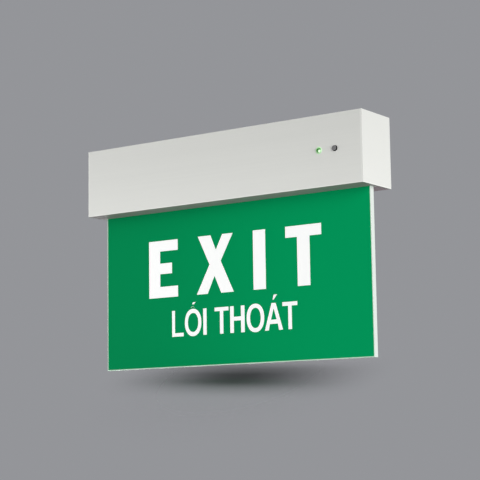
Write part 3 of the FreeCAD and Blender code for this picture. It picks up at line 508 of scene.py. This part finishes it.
@dataclass(frozen=True)
class LampFinish(Finish):
    """The lit dome of the indicator: green resin whose glow has one hot spot, low and to the right, that is
    the lit die and partly a painted highlight.

    Attributes:
        recess: how far the dome's middle lies behind the bezel's front, in metres.
        spot: where the hot spot, the lit die and a painted highlight in one, lies from the dome's middle, in
            dome radii.
        spot_core: radius within which the spot is full, in dome radii.
        spot_reach: radius at which it has faded out.
        die_and_highlight_colour: its colour, for the lit die and the painted highlight.
        spot_strength: how strongly the dome shines.
    """

    recess: float = 0.5 * MM
    spot: tuple[float, float, float] = (0.80, -0.55, -0.55)
    spot_core: float = 0.45
    spot_reach: float = 0.95
    die_and_highlight_colour: Colour = (0.85, 1.0, 0.80)
    spot_strength: float = 1.0

    def shader(self, nodes: Nodes) -> bpy.types.Node:
        """Builds the shader and lets the hot spot shine, the lit die and partly a painted highlight.

        Args:
            nodes: the material's tree.

        Returns:
            The shader node.
        """
        shader = super().shader(nodes)
        low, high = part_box("indicator_lamp")
        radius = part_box("lamp_bezel")[0].y - low.y + self.recess
        middle = Vector(((low.x + high.x) / 2, low.y + radius, (low.z + high.z) / 2))
        # The hot spot is set off to the lower right: partly the lit die, partly a painted highlight.
        spot = middle + Vector(self.spot) * radius
        nearness = nodes.near(spot, self.spot_core * radius, self.spot_reach * radius)
        shine = nodes.blend(nearness, self.glow, self.die_and_highlight_colour)
        nodes.join(shine, shader.inputs["Emission Color"])
        shader.inputs["Emission Strength"].default_value = self.spot_strength
        return shader


@dataclass(frozen=True)
class CapFinish(Finish):
    """The test button: a black cap whose face is painted grey, a painted reflection.

    Attributes:
        painted_reflection_colour: colour of the face, a painted reflection.
        face_depth: how deep the face's colour reaches from the cap's tip, in metres.
        face_fade: how softly it ends, as a share of that depth to either side.
    """

    painted_reflection_colour: Colour = (0.205, 0.205, 0.208)
    face_depth: float = 0.12 * MM
    face_fade: float = 0.5

    def colouring(self, nodes: Nodes) -> bpy.types.NodeSocket:
        """Gives grey at the tip, a painted reflection, and black behind it.

        Args:
            nodes: the material's tree.

        Returns:
            The colour.
        """
        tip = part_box("test_button")[0].y
        start = tip + self.face_depth * (1 - self.face_fade)
        end = tip + self.face_depth * (1 + self.face_fade)
        # Painted reflection: the face at the tip is grey, the rest of the cap black.
        return nodes.blend(nodes.along("Y", start, end), self.painted_reflection_colour, self.colour)


SATIN = ShellFinish("drawn_satin", (0.950, 0.958, 0.914), 0.42, Grain.DRAWN, painted_shade_to_top=0.13, streak=0.02)
# The caps' coat carries its own painted shade on the faces that look down.
CAP_SATIN = ShellFinish("coated_satin", (0.965, 0.974, 0.930), 0.45, Grain.COATED, swing=0.01, painted_shade_to_top=0.07,
                        painted_underside_shade=(0.41, 0.42, 0.40))
# Grey kept darker than the housing's white: painted shade that keeps the top from burning out under the top
# lamp.
SHADED_PLATE_COAT = Finish("plate_painted_shade", (0.66, 0.665, 0.65), 0.60, Grain.COATED, gloss=0.12)
RUBBER = Finish("black_rubber", (0.020, 0.020, 0.020), 0.75, Grain.MOULDED)
ZINC = Finish("zinc_plate", (0.62, 0.62, 0.60), 0.32, Grain.TURNED, metallic=1.0, swing=0.05)
CLEAR = ClearFinish("clear_acrylic", (0.93, 0.98, 0.95), 0.04, Grain.POLISHED, drift=0.01)
GREEN = LegendFinish("sheet_green", (0.0003, 0.330, 0.110), 0.50, Grain.POLISHED, gloss=0.015,
                     glow=(0.0, 1.0, 0.32), glow_strength=0.02, shaded_left_colour=(0.0003, 0.250, 0.082), drift=0.02)
LETTER = Finish("letter_white", (0.86, 0.87, 0.86), 0.40, Grain.POLISHED, glow=(1.0, 1.0, 1.0),
                glow_strength=0.27, swing=0.005)
REFLECTOR = Finish("reflector_white", (0.84, 0.85, 0.83), 0.35, Grain.POLISHED, swing=0.01)
STRIP = StripFinish("strip_milky", (0.80, 0.83, 0.80), 0.35, Grain.POLISHED, gloss=0.3,
                    glow=(0.40, 1.0, 0.60), glow_strength=0.05, swing=0.01)
BOARD_WHITE = Finish("board_white", (0.80, 0.80, 0.78), 0.35, Grain.POLISHED)
PHOSPHOR = Finish("chip_phosphor", (0.90, 0.80, 0.25), 0.30, Grain.POLISHED, glow=(1.0, 0.98, 0.90),
                  glow_strength=2.0)
LAMP = LampFinish("lamp_resin", (0.01, 0.12, 0.01), 0.18, Grain.POLISHED, gloss=0.3,
                  glow=(0.015, 0.10, 0.008), glow_strength=1.0)
BEZEL = Finish("bezel_milky", (0.44, 0.66, 0.40), 0.30, Grain.POLISHED, glow=(0.35, 0.90, 0.30),
               glow_strength=0.22)
BLACK = Finish("black_plastic", (0.022, 0.022, 0.023), 0.55, Grain.MOULDED)
CAP_BLACK = CapFinish("cap_black", (0.004, 0.004, 0.004), 0.50, Grain.MOULDED, gloss=0.15)
MASK_GREEN = Finish("board_mask_green", (0.02, 0.16, 0.05), 0.30, Grain.POLISHED, coat=0.3)
NYLON = Finish("nylon_natural", (0.78, 0.77, 0.72), 0.45, Grain.MOULDED)
SLEEVE = Finish("battery_sleeve", (0.04, 0.12, 0.42), 0.25, Grain.POLISHED, coat=0.4)
SPRING = Finish("spring_steel", (0.58, 0.58, 0.57), 0.28, Grain.TURNED, metallic=1.0)
BRASS = Finish("brass_bright", (0.70, 0.52, 0.22), 0.25, Grain.TURNED, metallic=1.0, swing=0.04)
FERRITE = Finish("ferrite", (0.05, 0.05, 0.055), 0.60, Grain.COATED, swing=0.08)
CAN = Finish("can_sleeve", (0.03, 0.04, 0.09), 0.30, Grain.POLISHED)
RELAY_BLUE = Finish("relay_blue", (0.03, 0.14, 0.40), 0.35, Grain.MOULDED)
FILM = Finish("film_yellow", (0.72, 0.50, 0.05), 0.40, Grain.COATED)


# ---------------------------------------------------------------- making pieces


def dress(node: str, finish: Finish) -> None:
    """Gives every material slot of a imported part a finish.

    Args:
        node: the part's name.
        finish: its finish.
    """
    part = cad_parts[node]
    material = finish.material()
    for slot in part.material_slots:
        slot.material = material
    LOG.info("%s dressed in %s", node, finish.name)


def add_piece(name: str, shape: bmesh.types.BMesh, finish: Finish) -> None:
    """Turns a finished shape into a piece of the sign.

    Args:
        name: the piece's name.
        shape: its mesh, which is used up.
        finish: its finish.
    """
    bmesh.ops.recalc_face_normals(shape, faces=shape.faces)
    mesh = bpy.data.meshes.new(name)
    shape.to_mesh(mesh)
    shape.free()
    piece = bpy.data.objects.new(name, mesh)
    bpy.context.scene.collection.objects.link(piece)
    mesh.materials.append(finish.material())
    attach(piece, BODY)
    LOG.info("%s: %d faces, on %s", name, len(mesh.polygons), BODY)


# ---------------------------------------------------------------- the legend's letters


@dataclass(frozen=True)
class Hand:
    """The weights of one line of lettering, in millimetres.

    Attributes:
        height: height of a capital.
        stem: width of an upright stroke.
        arm: height of a level stroke.
    """

    height: float
    stem: float
    arm: float


def bar(left: float, right: float, foot: float, head: float) -> Outline:
    """Gives a rectangle's outline."""
    return [(left, foot), (right, foot), (right, head), (left, head)]


@dataclass(frozen=True)
class Letter:
    """A letter as closed outlines that meet only along whole edges.

    Attributes:
        outlines: the outlines, in millimetres from the letter's lower left corner.
    """

    outlines: tuple[Outline, ...]

    def moved(self, x: float, z: float) -> list[Outline]:
        """Gives the outlines with their corner at (x, z)."""
        return [[(u + x, v + z) for u, v in outline] for outline in self.outlines]


def letter_e(hand: Hand, width: float, middle: float, foot_arm: float, waist: float) -> Letter:
    """Draws an E as one outline.

    Args:
        hand: weights of the line.
        width: overall width.
        middle: width out to the end of the middle arm.
        foot_arm: height of the lowest arm, which is a little heavier.
        waist: height of the middle arm's underside.

    Returns:
        The letter.
    """
    top, stem, arm = hand.height, hand.stem, hand.arm
    return Letter(([(0, 0), (width, 0), (width, foot_arm), (stem, foot_arm), (stem, waist), (middle, waist),
                    (middle, waist + arm), (stem, waist + arm), (stem, top - arm), (width, top - arm),
                    (width, top), (0, top)],))


def letter_i(hand: Hand) -> Letter:
    """Draws an I."""
    return Letter((bar(0, hand.stem, 0, hand.height),))


def letter_l(hand: Hand, width: float) -> Letter:
    """Draws an L of a width."""
    return Letter(([(0, 0), (width, 0), (width, hand.arm), (hand.stem, hand.arm), (hand.stem, hand.height),
                    (0, hand.height)],))


def letter_t(hand: Hand, width: float) -> Letter:
    """Draws a T of a width, with its stem in the middle."""
    left, right, under = (width - hand.stem) / 2, (width + hand.stem) / 2, hand.height - hand.arm
    return Letter(([(left, 0), (right, 0), (right, under), (width, under), (width, hand.height),
                    (0, hand.height), (0, under), (left, under)],))


def letter_h(hand: Hand, width: float, waist: float) -> Letter:
    """Draws an H of a width, with its bar's underside at the waist."""
    left, right, top, bar_top = hand.stem, width - hand.stem, hand.height, waist + hand.arm
    return Letter(([(0, 0), (left, 0), (left, waist), (right, waist), (right, 0), (width, 0), (width, top),
                    (right, top), (right, bar_top), (left, bar_top), (left, top), (0, top)],))


@dataclass(frozen=True)
class Cross:
    """An X whose two strokes cross a little above the middle, the falling one heavier.

    Level places are shares of the letter's width, and heights are shares of a capital's height.

    Attributes:
        heavy: level width of the falling stroke at its head.
        light: level width of the rising stroke at its head.
        feet: level widths of the left and the right foot.
        heads: outer corners of the left and the right head.
        under: corner between the feet.
        over: corner between the heads.
        left: corner between the strokes at the left.
        right: corner between them at the right.
    """

    heavy: float = 0.355
    light: float = 0.293
    feet: Point = (0.3055, 0.3445)
    heads: Point = (0.041, 0.990)
    under: Point = (0.488, 0.288)
    over: Point = (0.531, 0.752)
    left: Point = (0.350, 0.499)
    right: Point = (0.662, 0.545)

    def letter(self, hand: Hand, width: float) -> Letter:
        """Draws the X at the height of a line and a width."""
        shares = [(0, 0), (self.feet[0], 0), self.under, (1 - self.feet[1], 0), (1, 0), self.right,
                  (self.heads[1], 1), (self.heads[1] - self.light, 1), self.over,
                  (self.heads[0] + self.heavy, 1), (self.heads[0], 1), self.left]
        return Letter(([(u * width, v * hand.height) for u, v in shares],))


@dataclass(frozen=True)
class Gable:
    """An A as two halves, which meet over and under its counter.

    Attributes:
        width: width at the feet, in millimetres.
        foot: width of each foot.
        head: width of the flat top.
        waist: height of the bar's underside.
        counter: width of the counter's foot.
        spread: half width between the legs at the bar's underside, as a share of the counter's width.
        peak: height of the counter's top, as a share of a capital's height.
    """

    width: float = 24.1
    foot: float = 5.9
    head: float = 5.8
    waist: float = 6.8
    counter: float = 6.15
    spread: float = 0.79
    peak: float = 0.755

    def letter(self, hand: Hand) -> Letter:
        """Draws the A.

        Args:
            hand: weights of the line.

        Returns:
            The letter.
        """
        middle, top, sill = self.width / 2, hand.height, self.waist + hand.arm
        halves = []
        for side in (-1, 1):
            halves.append([
                (middle, top),
                (middle + side * self.head / 2, top),
                (middle + side * self.width / 2, 0),
                (middle + side * (self.width / 2 - self.foot), 0),
                (middle + side * self.counter * self.spread, self.waist),
                (middle, self.waist),
                (middle, sill),
                (middle + side * self.counter / 2, sill),
                (middle, top * self.peak),
            ])
        return Letter(tuple(halves))


@dataclass(frozen=True)
class Roof:
    """The roof over a round letter, as two halves that meet at its ridge.

    Attributes:
        reach: half its width outside, in millimetres.
        opening: half its width inside.
        hollow: height of its underside in the middle.
        ridge: height of its top in the middle.
    """

    reach: float = 4.1
    opening: float = 2.2
    hollow: float = 1.1
    ridge: float = 2.3

    def letter(self) -> Letter:
        """Draws the roof about its middle.

        Returns:
            The roof.
        """
        left = [(-self.reach, 0), (-self.opening, 0), (0, self.hollow), (0, self.ridge)]
        right = [(0, self.ridge), (0, self.hollow), (self.opening, 0), (self.reach, 0)]
        return Letter((left, right))


@dataclass(frozen=True)
class Ring:
    """The bowl of an O: the band between two rounded shapes about one centre.

    Attributes:
        half: half width and half height outside, in millimetres.
        hole: half width and half height inside.
        squareness: 2 for an ellipse, and more for squarer shoulders.
        steps: corners round the ring.
    """

    half: Point
    hole: Point
    squareness: float = 2.15
    steps: int = 72

    def corner(self, size: Point, step: int) -> Point:
        """Gives one corner of a rounded shape.

        Args:
            size: half width and half height of the shape.
            step: which corner, counted round from the right.

        Returns:
            The corner, from the shape's centre.
        """
        turn = 2 * math.pi * step / self.steps
        power = 2 / self.squareness
        return (math.copysign(abs(math.cos(turn)) ** power, math.cos(turn)) * size[0],
                math.copysign(abs(math.sin(turn)) ** power, math.sin(turn)) * size[1])

    def letter(self) -> Letter:
        """Draws the band as a row of four-sided outlines.

        Returns:
            The letter.
        """
        x, z = self.half
        corners = []
        for step in range(self.steps):
            ends = [self.corner(self.half, step), self.corner(self.half, step + 1),
                    self.corner(self.hole, step + 1), self.corner(self.hole, step)]
            corners.append([(u + x, v + z) for u, v in ends])
        return Letter(tuple(corners))


@dataclass
class Legend:
    """The two lines of words on the green sheet, built letter by letter as thin inlays.

    Heights count from the foot of the legend and places from its middle, in millimetres.

    Attributes:
        exit_hand: weights of the first line.
        exit_foot: height of its foot.
        exit_places: left sides of its letters.
        way_hand: weights of the second line.
        way_foot: height of its foot.
        way_places: left sides of its letters.
        first_bowl: shape of its first round letter.
        second_bowl: shape of its second.
        roof_foot: height of the roof's foot over the line's.
        roof_stroke: the stroke over the roof, from the roof's middle and foot.
        a_stroke: the stroke over the A, from the letter's corner.
        trim: what is trimmed off all outlines, because bright inlays look bolder than they are.
        rise: how far an inlay stands proud of the sheet.
        sink: how far it reaches into the sheet.
    """

    exit_hand: Hand = Hand(65.3, 16.5, 12.8)
    exit_foot: float = 77.6
    exit_places: tuple[float, ...] = (-114.8, -48.2, 28.1, 70.0)
    way_hand: Hand = Hand(29.8, 5.25, 4.9)
    way_foot: float = 32.8
    way_places: tuple[float, ...] = (-82.7, -64.85, -39.6, -24.1, -3.3, 18.4, 41.8, 64.75)
    first_bowl: Ring = Ring((11.65, 15.5), (6.75, 10.1))
    second_bowl: Ring = Ring((11.8, 15.7), (6.55, 10.5))
    roof_foot: float = 31.2
    roof_stroke: Letter = Letter(([(-1.6, 3.4), (1.2, 3.2), (5.1, 6.7), (-0.2, 6.3)],))
    a_stroke: Letter = Letter(([(10.3, 32.6), (12.55, 32.6), (17.4, 38.8), (12.2, 38.7)],))
    trim: float = 0.40
    rise: float = 0.12
    sink: float = 0.05

    def build(self) -> None:
        """Builds each letter as a piece of its own and lays it in the green sheet."""
        hand = self.exit_hand
        words = [
            ("exit_e", letter_e(hand, width=41.5, middle=33.2, foot_arm=13.1, waist=26.7)),
            ("exit_x", Cross().letter(hand, width=51.2)),
            ("exit_i", letter_i(replace(hand, stem=16.8))),
            ("exit_t", letter_t(hand, width=45.8)),
        ]
        for (name, letter), place in zip(words, self.exit_places):
            self.inlay(name, letter.moved(place, self.exit_foot))
        for name, outlines in self.second_line():
            self.inlay(name, outlines)

    def second_line(self) -> list[tuple[str, list[Outline]]]:
        """Draws the letters of the second line in their places.

        Returns:
            Each letter's name and its outlines.
        """
        hand, foot = self.way_hand, self.way_foot
        at_l, at_first_o, at_i, at_first_t, at_h, at_second_o, at_a, at_last_t = self.way_places
        slim, bold = replace(hand, stem=4.7, arm=4.7), replace(hand, stem=5.5, arm=5.1)
        return [
            ("way_l", letter_l(slim, width=16.7).moved(at_l, foot)),
            ("way_o_first", self.bowl(self.first_bowl, at_first_o) + self.hat(at_first_o)),
            ("way_i", letter_i(hand).moved(at_i, foot)),
            ("way_t_first", letter_t(hand, width=19.4).moved(at_first_t, foot)),
            ("way_h", letter_h(bold, width=19.8, waist=13.1).moved(at_h, foot)),
            ("way_o_second", self.bowl(self.second_bowl, at_second_o)),
            ("way_a", self.accented_a(at_a)),
            ("way_t_last", letter_t(hand, width=19.5).moved(at_last_t, foot)),
        ]

    def bowl(self, ring: Ring, place: float) -> list[Outline]:
        """Gives a round letter with its left side at a place, a hair taller than the rest."""
        overshoot = ring.half[1] - self.way_hand.height / 2
        return ring.letter().moved(place, self.way_foot - overshoot)

    def hat(self, place: float) -> list[Outline]:
        """Gives the roof and the stroke over the first round letter, whose left side is at a place."""
        middle, foot = place + self.first_bowl.half[0], self.way_foot + self.roof_foot
        return Roof().letter().moved(middle, foot) + self.roof_stroke.moved(middle, foot)

    def accented_a(self, place: float) -> list[Outline]:
        """Gives the A with its left side at a place, and the stroke over it."""
        letter = Gable().letter(replace(self.way_hand, arm=5.3))
        return letter.moved(place, self.way_foot) + self.a_stroke.moved(place, self.way_foot)

    def inlay(self, name: str, outlines: Iterable[Outline]) -> None:
        """Makes outlines into one thin inlay that stands a hair proud of the sheet.

        Args:
            name: the piece's name.
            outlines: closed outlines, in millimetres from the legend's foot and middle.
        """
        low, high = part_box("legend_sheet")
        middle, face = (low.x + high.x) / 2, low.y
        shape = bmesh.new()
        known: dict[tuple[int, int], bmesh.types.BMVert] = {}

        def corner(u: float, v: float) -> bmesh.types.BMVert:
            """Gives a corner, making it only once.

            Args:
                u: its place from the legend's middle.
                v: its height over the legend's foot.

            Returns:
                The corner.
            """
            key = (round(u * CORNER_STEPS), round(v * CORNER_STEPS))
            if key not in known:
                place = (middle + u * MM, face + self.sink * MM, low.z + v * MM)
                known[key] = shape.verts.new(place)
            return known[key]

        for outline in outlines:
            shape.faces.new([corner(u, v) for u, v in outline])
        shape.normal_update()
        bmesh.ops.recalc_face_normals(shape, faces=shape.faces)
        rim = bmesh.ops.inset_region(shape, faces=shape.faces[:], thickness=self.trim * MM, use_boundary=True,
                                     use_even_offset=True)["faces"]
        bmesh.ops.delete(shape, geom=rim, context="FACES")
        raised = bmesh.ops.extrude_face_region(shape, geom=shape.faces[:])["geom"]
        step = Vector((0, -(self.rise + self.sink) * MM, 0))
        fronts = [item for item in raised if isinstance(item, bmesh.types.BMVert)]
        bmesh.ops.translate(shape, vec=step, verts=fronts)
        bmesh.ops.triangulate(shape, faces=[item for item in shape.faces if len(item.verts) > QUAD])
        add_piece(name, shape, LETTER)


# ---------------------------------------------------------------- the sign's own parts


@dataclass
class Assembly:
    """A group of the sign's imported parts.

    Attributes:
        finishes: the finish of each part.
    """

    finishes: dict[str, Finish] = field(default_factory=dict)

    def build(self) -> None:
        """Dresses the group's parts."""
        for node, finish in self.finishes.items():
            dress(node, finish)


@dataclass
class Housing(Assembly):
    """The housing with its caps, ceiling plate, grommet and cover screws."""

    finishes: dict[str, Finish] = field(default_factory=lambda: {
        "housing_profile": SATIN, "end_cap_left": CAP_SATIN, "end_cap_right": CAP_SATIN,
        "ceiling_plate": SHADED_PLATE_COAT, "cable_grommet": RUBBER, "cover_screws": ZINC})


@dataclass
class Panel(Assembly):
    """The hanging panel: guide, green sheet, reflector, edge strips and what holds and lights them."""

    finishes: dict[str, Finish] = field(default_factory=lambda: {
        "light_guide": CLEAR, "legend_sheet": GREEN, "reflector_sheet": REFLECTOR, "edge_strip_left": STRIP,
        "edge_strip_right": STRIP, "edge_strip_bottom": STRIP, "panel_screws": ZINC, "panel_nuts": ZINC,
        "light_board": BOARD_WHITE, "light_chips": PHOSPHOR})

    def build(self) -> None:
        """Dresses the panel's parts and lays the letters in it."""
        super().build()
        Legend().build()


@dataclass
class Indicator(Assembly):
    """The lamp and the test button in the front, with the board that carries them."""

    finishes: dict[str, Finish] = field(default_factory=lambda: {
        "indicator_lamp": LAMP, "lamp_bezel": BEZEL, "lamp_spacer": BLACK, "test_button": CAP_BLACK,
        "test_switch": BLACK, "indicator_board": MASK_GREEN, "indicator_standoffs": NYLON,
        "indicator_screws": ZINC})


@dataclass
class Works(Assembly):
    """What the closed housing holds: battery, control board and mains terminals."""

    finishes: dict[str, Finish] = field(default_factory=lambda: {
        "battery_pack": SLEEVE, "battery_clips": SPRING, "control_board": MASK_GREEN,
        "board_standoffs": BRASS, "board_screws": ZINC, "transformer": FERRITE,
        "electrolytic_capacitors": CAN, "relay": RELAY_BLUE, "film_capacitor": FILM, "control_chip": BLACK,
        "wire_headers": NYLON, "terminal_block": NYLON, "terminal_screws": ZINC, "earth_stud": ZINC,
        "earth_nut": BRASS})


# ---------------------------------------------------------------- studio


def towards(azimuth: float, elevation: float) -> Vector:
    """Gives the direction to a place round the sign.

    Args:
        azimuth: degrees round from the front to the right.
        elevation: degrees up from level.

    Returns:
        The unit vector to that place.
    """
    round_, up = math.radians(azimuth), math.radians(elevation)
    return Vector((math.sin(round_) * math.cos(up), -math.cos(round_) * math.cos(up), math.sin(up)))


@dataclass(frozen=True)
class Lamp:
    """A soft lamp of the studio.

    Attributes:
        name: the lamp's name.
        azimuth: where it stands round the sign, in degrees to the right of the front.
        elevation: how high it stands, in degrees.
        level: how brightly it lights a white face that looks at it; 1 shows white as white.
        spread: how wide it looks from the sign, in degrees.
        distance: how far off it stands, in metres, or 0 for a bank too far off to fall away.
        flagged: whether a flag keeps it off the sweep.
        passes: whether it passes the sweep, which then throws no shade on the sign.
    """

    name: str
    azimuth: float
    elevation: float
    level: float
    spread: float
    distance: float = 0.0
    flagged: bool = True
    passes: bool = False

    def build(self, target: Vector, all_but_sweep: bpy.types.Collection) -> None:
        """Puts the lamp up, facing the target.

        Args:
            target: the middle of the sign.
            all_but_sweep: the light group that leaves out the sweep.
        """
        way = towards(self.azimuth, self.elevation)
        if self.distance:
            light = bpy.data.lights.new(self.name, "AREA")
            light.shape = "SQUARE"
            light.size = 2 * self.distance * math.tan(math.radians(self.spread) / 2)
            light.energy = self.level * (math.pi * self.distance) ** 2
        else:
            light = bpy.data.lights.new(self.name, "SUN")
            light.angle = math.radians(self.spread)
            light.energy = self.level * math.pi
        lamp = bpy.data.objects.new(self.name, light)
        lamp.location = target + way * (self.distance or BANK_STAND)
        lamp.rotation_euler = way.to_track_quat("Z", "Y").to_euler()
        bpy.context.scene.collection.objects.link(lamp)
        if self.flagged:
            lamp.light_linking.receiver_collection = all_but_sweep
        if self.passes:
            lamp.light_linking.blocker_collection = all_but_sweep


@dataclass
class Studio:
    """Even light from the room, five soft lamps and a plain sweep under the hanging sign.

    Attributes:
        backdrop: colour of the backdrop and of the lit sweep.
        room_light: level of the light from all round.
        floor_gap: how far under the sign's foot the sweep lies, in metres.
        floor_shift: how far its middle lies to the right of the sign's, in metres.
        floor_rise: how much the sweep rises to the right and to the back, as slopes.
        floor_reach: radius of the sweep, which fades out to its rim, in metres.
        floor_corners: corners round its rim.
        floor_colour: colour of the sweep itself.
        lamps: the lamps.
    """

    backdrop: Colour = (0.296, 0.301, 0.319)
    room_light: float = 0.14
    floor_gap: float = 0.013
    floor_shift: float = 0.008
    floor_rise: Point = (-0.045, 0.485)
    floor_reach: float = 0.186
    floor_corners: int = 96
    floor_colour: Colour = (0.322, 0.323, 0.346)
    lamps: tuple[Lamp, ...] = (
        Lamp("key_bank", 60.0, -1.0, 1.00, 60.0),
        Lamp("front_bank", 18.0, 0.0, 0.07, 60.0),
        Lamp("fill_box", -62.0, -4.0, 0.24, 30.0, 1.8),
        Lamp("top_bank", 0.0, 90.0, 0.80, 9.0, flagged=False),
        Lamp("back_bank", 222.0, 15.0, 0.58, 40.0, passes=True),
    )

    def build(self) -> None:
        """Builds the sweep, the room's light and the lamps."""
        low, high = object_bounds()
        target = (low + high) / 2
        sweep = self.floor(Vector((target.x + self.floor_shift, target.y, low.z - self.floor_gap)))
        all_but_sweep = bpy.data.collections.new("all_but_sweep")
        all_but_sweep.objects.link(sweep)
        all_but_sweep.collection_objects[0].light_linking.link_state = "EXCLUDE"
        self.room()
        for lamp in self.lamps:
            lamp.build(target, all_but_sweep)

    def floor(self, middle: Vector) -> bpy.types.Object:
        """Lays the sweep: a disc that rises to the back and fades out at its rim.

        Args:
            middle: the disc's middle.

        Returns:
            The sweep.
        """
        shape = bmesh.new()
        bmesh.ops.create_circle(shape, cap_ends=True, segments=self.floor_corners, radius=self.floor_reach)
        mesh = bpy.data.meshes.new("sweep")
        shape.to_mesh(mesh)
        shape.free()
        sweep = bpy.data.objects.new("sweep", mesh)
        sweep.location = middle
        upright = Vector((-self.floor_rise[0], -self.floor_rise[1], 1.0)).normalized()
        sweep.rotation_euler = upright.to_track_quat("Z", "Y").to_euler()
        bpy.context.scene.collection.objects.link(sweep)
        mesh.materials.append(self.floor_material())
        sweep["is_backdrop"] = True
        return sweep

    def floor_material(self) -> bpy.types.Material:
        """Builds the sweep's matt grey, clear at the rim and from underneath.

        Returns:
            The material.
        """
        nodes = Nodes("sweep_grey")
        matt = nodes.add("ShaderNodeBsdfDiffuse")
        matt.inputs["Color"].default_value = (*self.floor_colour, 1.0)
        clear = nodes.add("ShaderNodeBsdfTransparent")
        rim = nodes.add("ShaderNodeMixShader")
        nodes.join(nodes.near(Vector((0, 0, 0)), 0.0, self.floor_reach), rim.inputs[0])
        nodes.join(clear.outputs[0], rim.inputs[1])
        nodes.join(matt.outputs[0], rim.inputs[2])
        side = nodes.add("ShaderNodeMixShader")
        nodes.join(nodes.add("ShaderNodeNewGeometry").outputs["Backfacing"], side.inputs[0])
        nodes.join(rim.outputs[0], side.inputs[1])
        nodes.join(clear.outputs[0], side.inputs[2])
        nodes.join(side.outputs[0], nodes.output.inputs["Surface"])
        return nodes.material

    def room(self) -> None:
        """Lights the sign evenly from all round, before a plain grey backdrop."""
        world = bpy.data.worlds.new("room")
        world.use_nodes = True
        bpy.context.scene.world = world
        tree = world.node_tree
        tree.nodes.clear()
        path = tree.nodes.new("ShaderNodeLightPath")
        seen = tree.nodes.new("ShaderNodeBackground")
        seen.inputs["Color"].default_value = (*self.backdrop, 1.0)
        light = tree.nodes.new("ShaderNodeBackground")
        light.inputs["Color"].default_value = (1.0, 1.0, 1.0, 1.0)
        light.inputs["Strength"].default_value = self.room_light
        chosen = path.outputs["Is Camera Ray"]
        for ray in ("Is Glossy Ray", "Is Transmission Ray"):
            either = tree.nodes.new("ShaderNodeMath")
            either.operation = "MAXIMUM"
            tree.links.new(chosen, either.inputs[0])
            tree.links.new(path.outputs[ray], either.inputs[1])
            chosen = either.outputs[0]
        choose = tree.nodes.new("ShaderNodeMixShader")
        output = tree.nodes.new("ShaderNodeOutputWorld")
        tree.links.new(chosen, choose.inputs[0])
        tree.links.new(light.outputs[0], choose.inputs[1])
        tree.links.new(seen.outputs[0], choose.inputs[2])
        tree.links.new(choose.outputs[0], output.inputs["Surface"])


@dataclass(frozen=True)
class View:
    """The camera: low, ahead and to the right of the sign.

    Attributes:
        place: where it stands, in metres.
        tilt: its turn about its level axis, in degrees; 90 looks level.
        roll: its small lean, in degrees.
        azimuth: how far it stands round to the right, in degrees.
        lens: focal length for a 36 mm wide frame.
    """

    place: tuple[float, float, float] = (0.92471, -1.31323, -0.33727)
    tilt: float = 97.8445
    roll: float = 0.8384
    azimuth: float = 34.9956
    lens: float = 111.1745

    def build(self) -> None:
        """Creates the camera and makes it the scene's own."""
        camera = bpy.data.cameras.new("camera")
        camera.sensor_width, camera.lens = FRAME_WIDTH, self.lens
        stand = bpy.data.objects.new("camera", camera)
        stand.location = self.place
        stand.rotation_euler = Euler([math.radians(angle) for angle in (self.tilt, self.roll, self.azimuth)])
        bpy.context.scene.collection.objects.link(stand)
        bpy.context.scene.camera = stand


def main() -> None:
    """Dresses the sign, lights it and sets up the camera."""
    logging.basicConfig(level=logging.INFO, format="%(message)s")
    bpy.context.scene.view_settings.view_transform = "Standard"
    for assembly in (Housing(), Panel(), Indicator(), Works()):
        assembly.build()
    Studio().build()
    View().build()


if __name__ == "__main__":
    main()
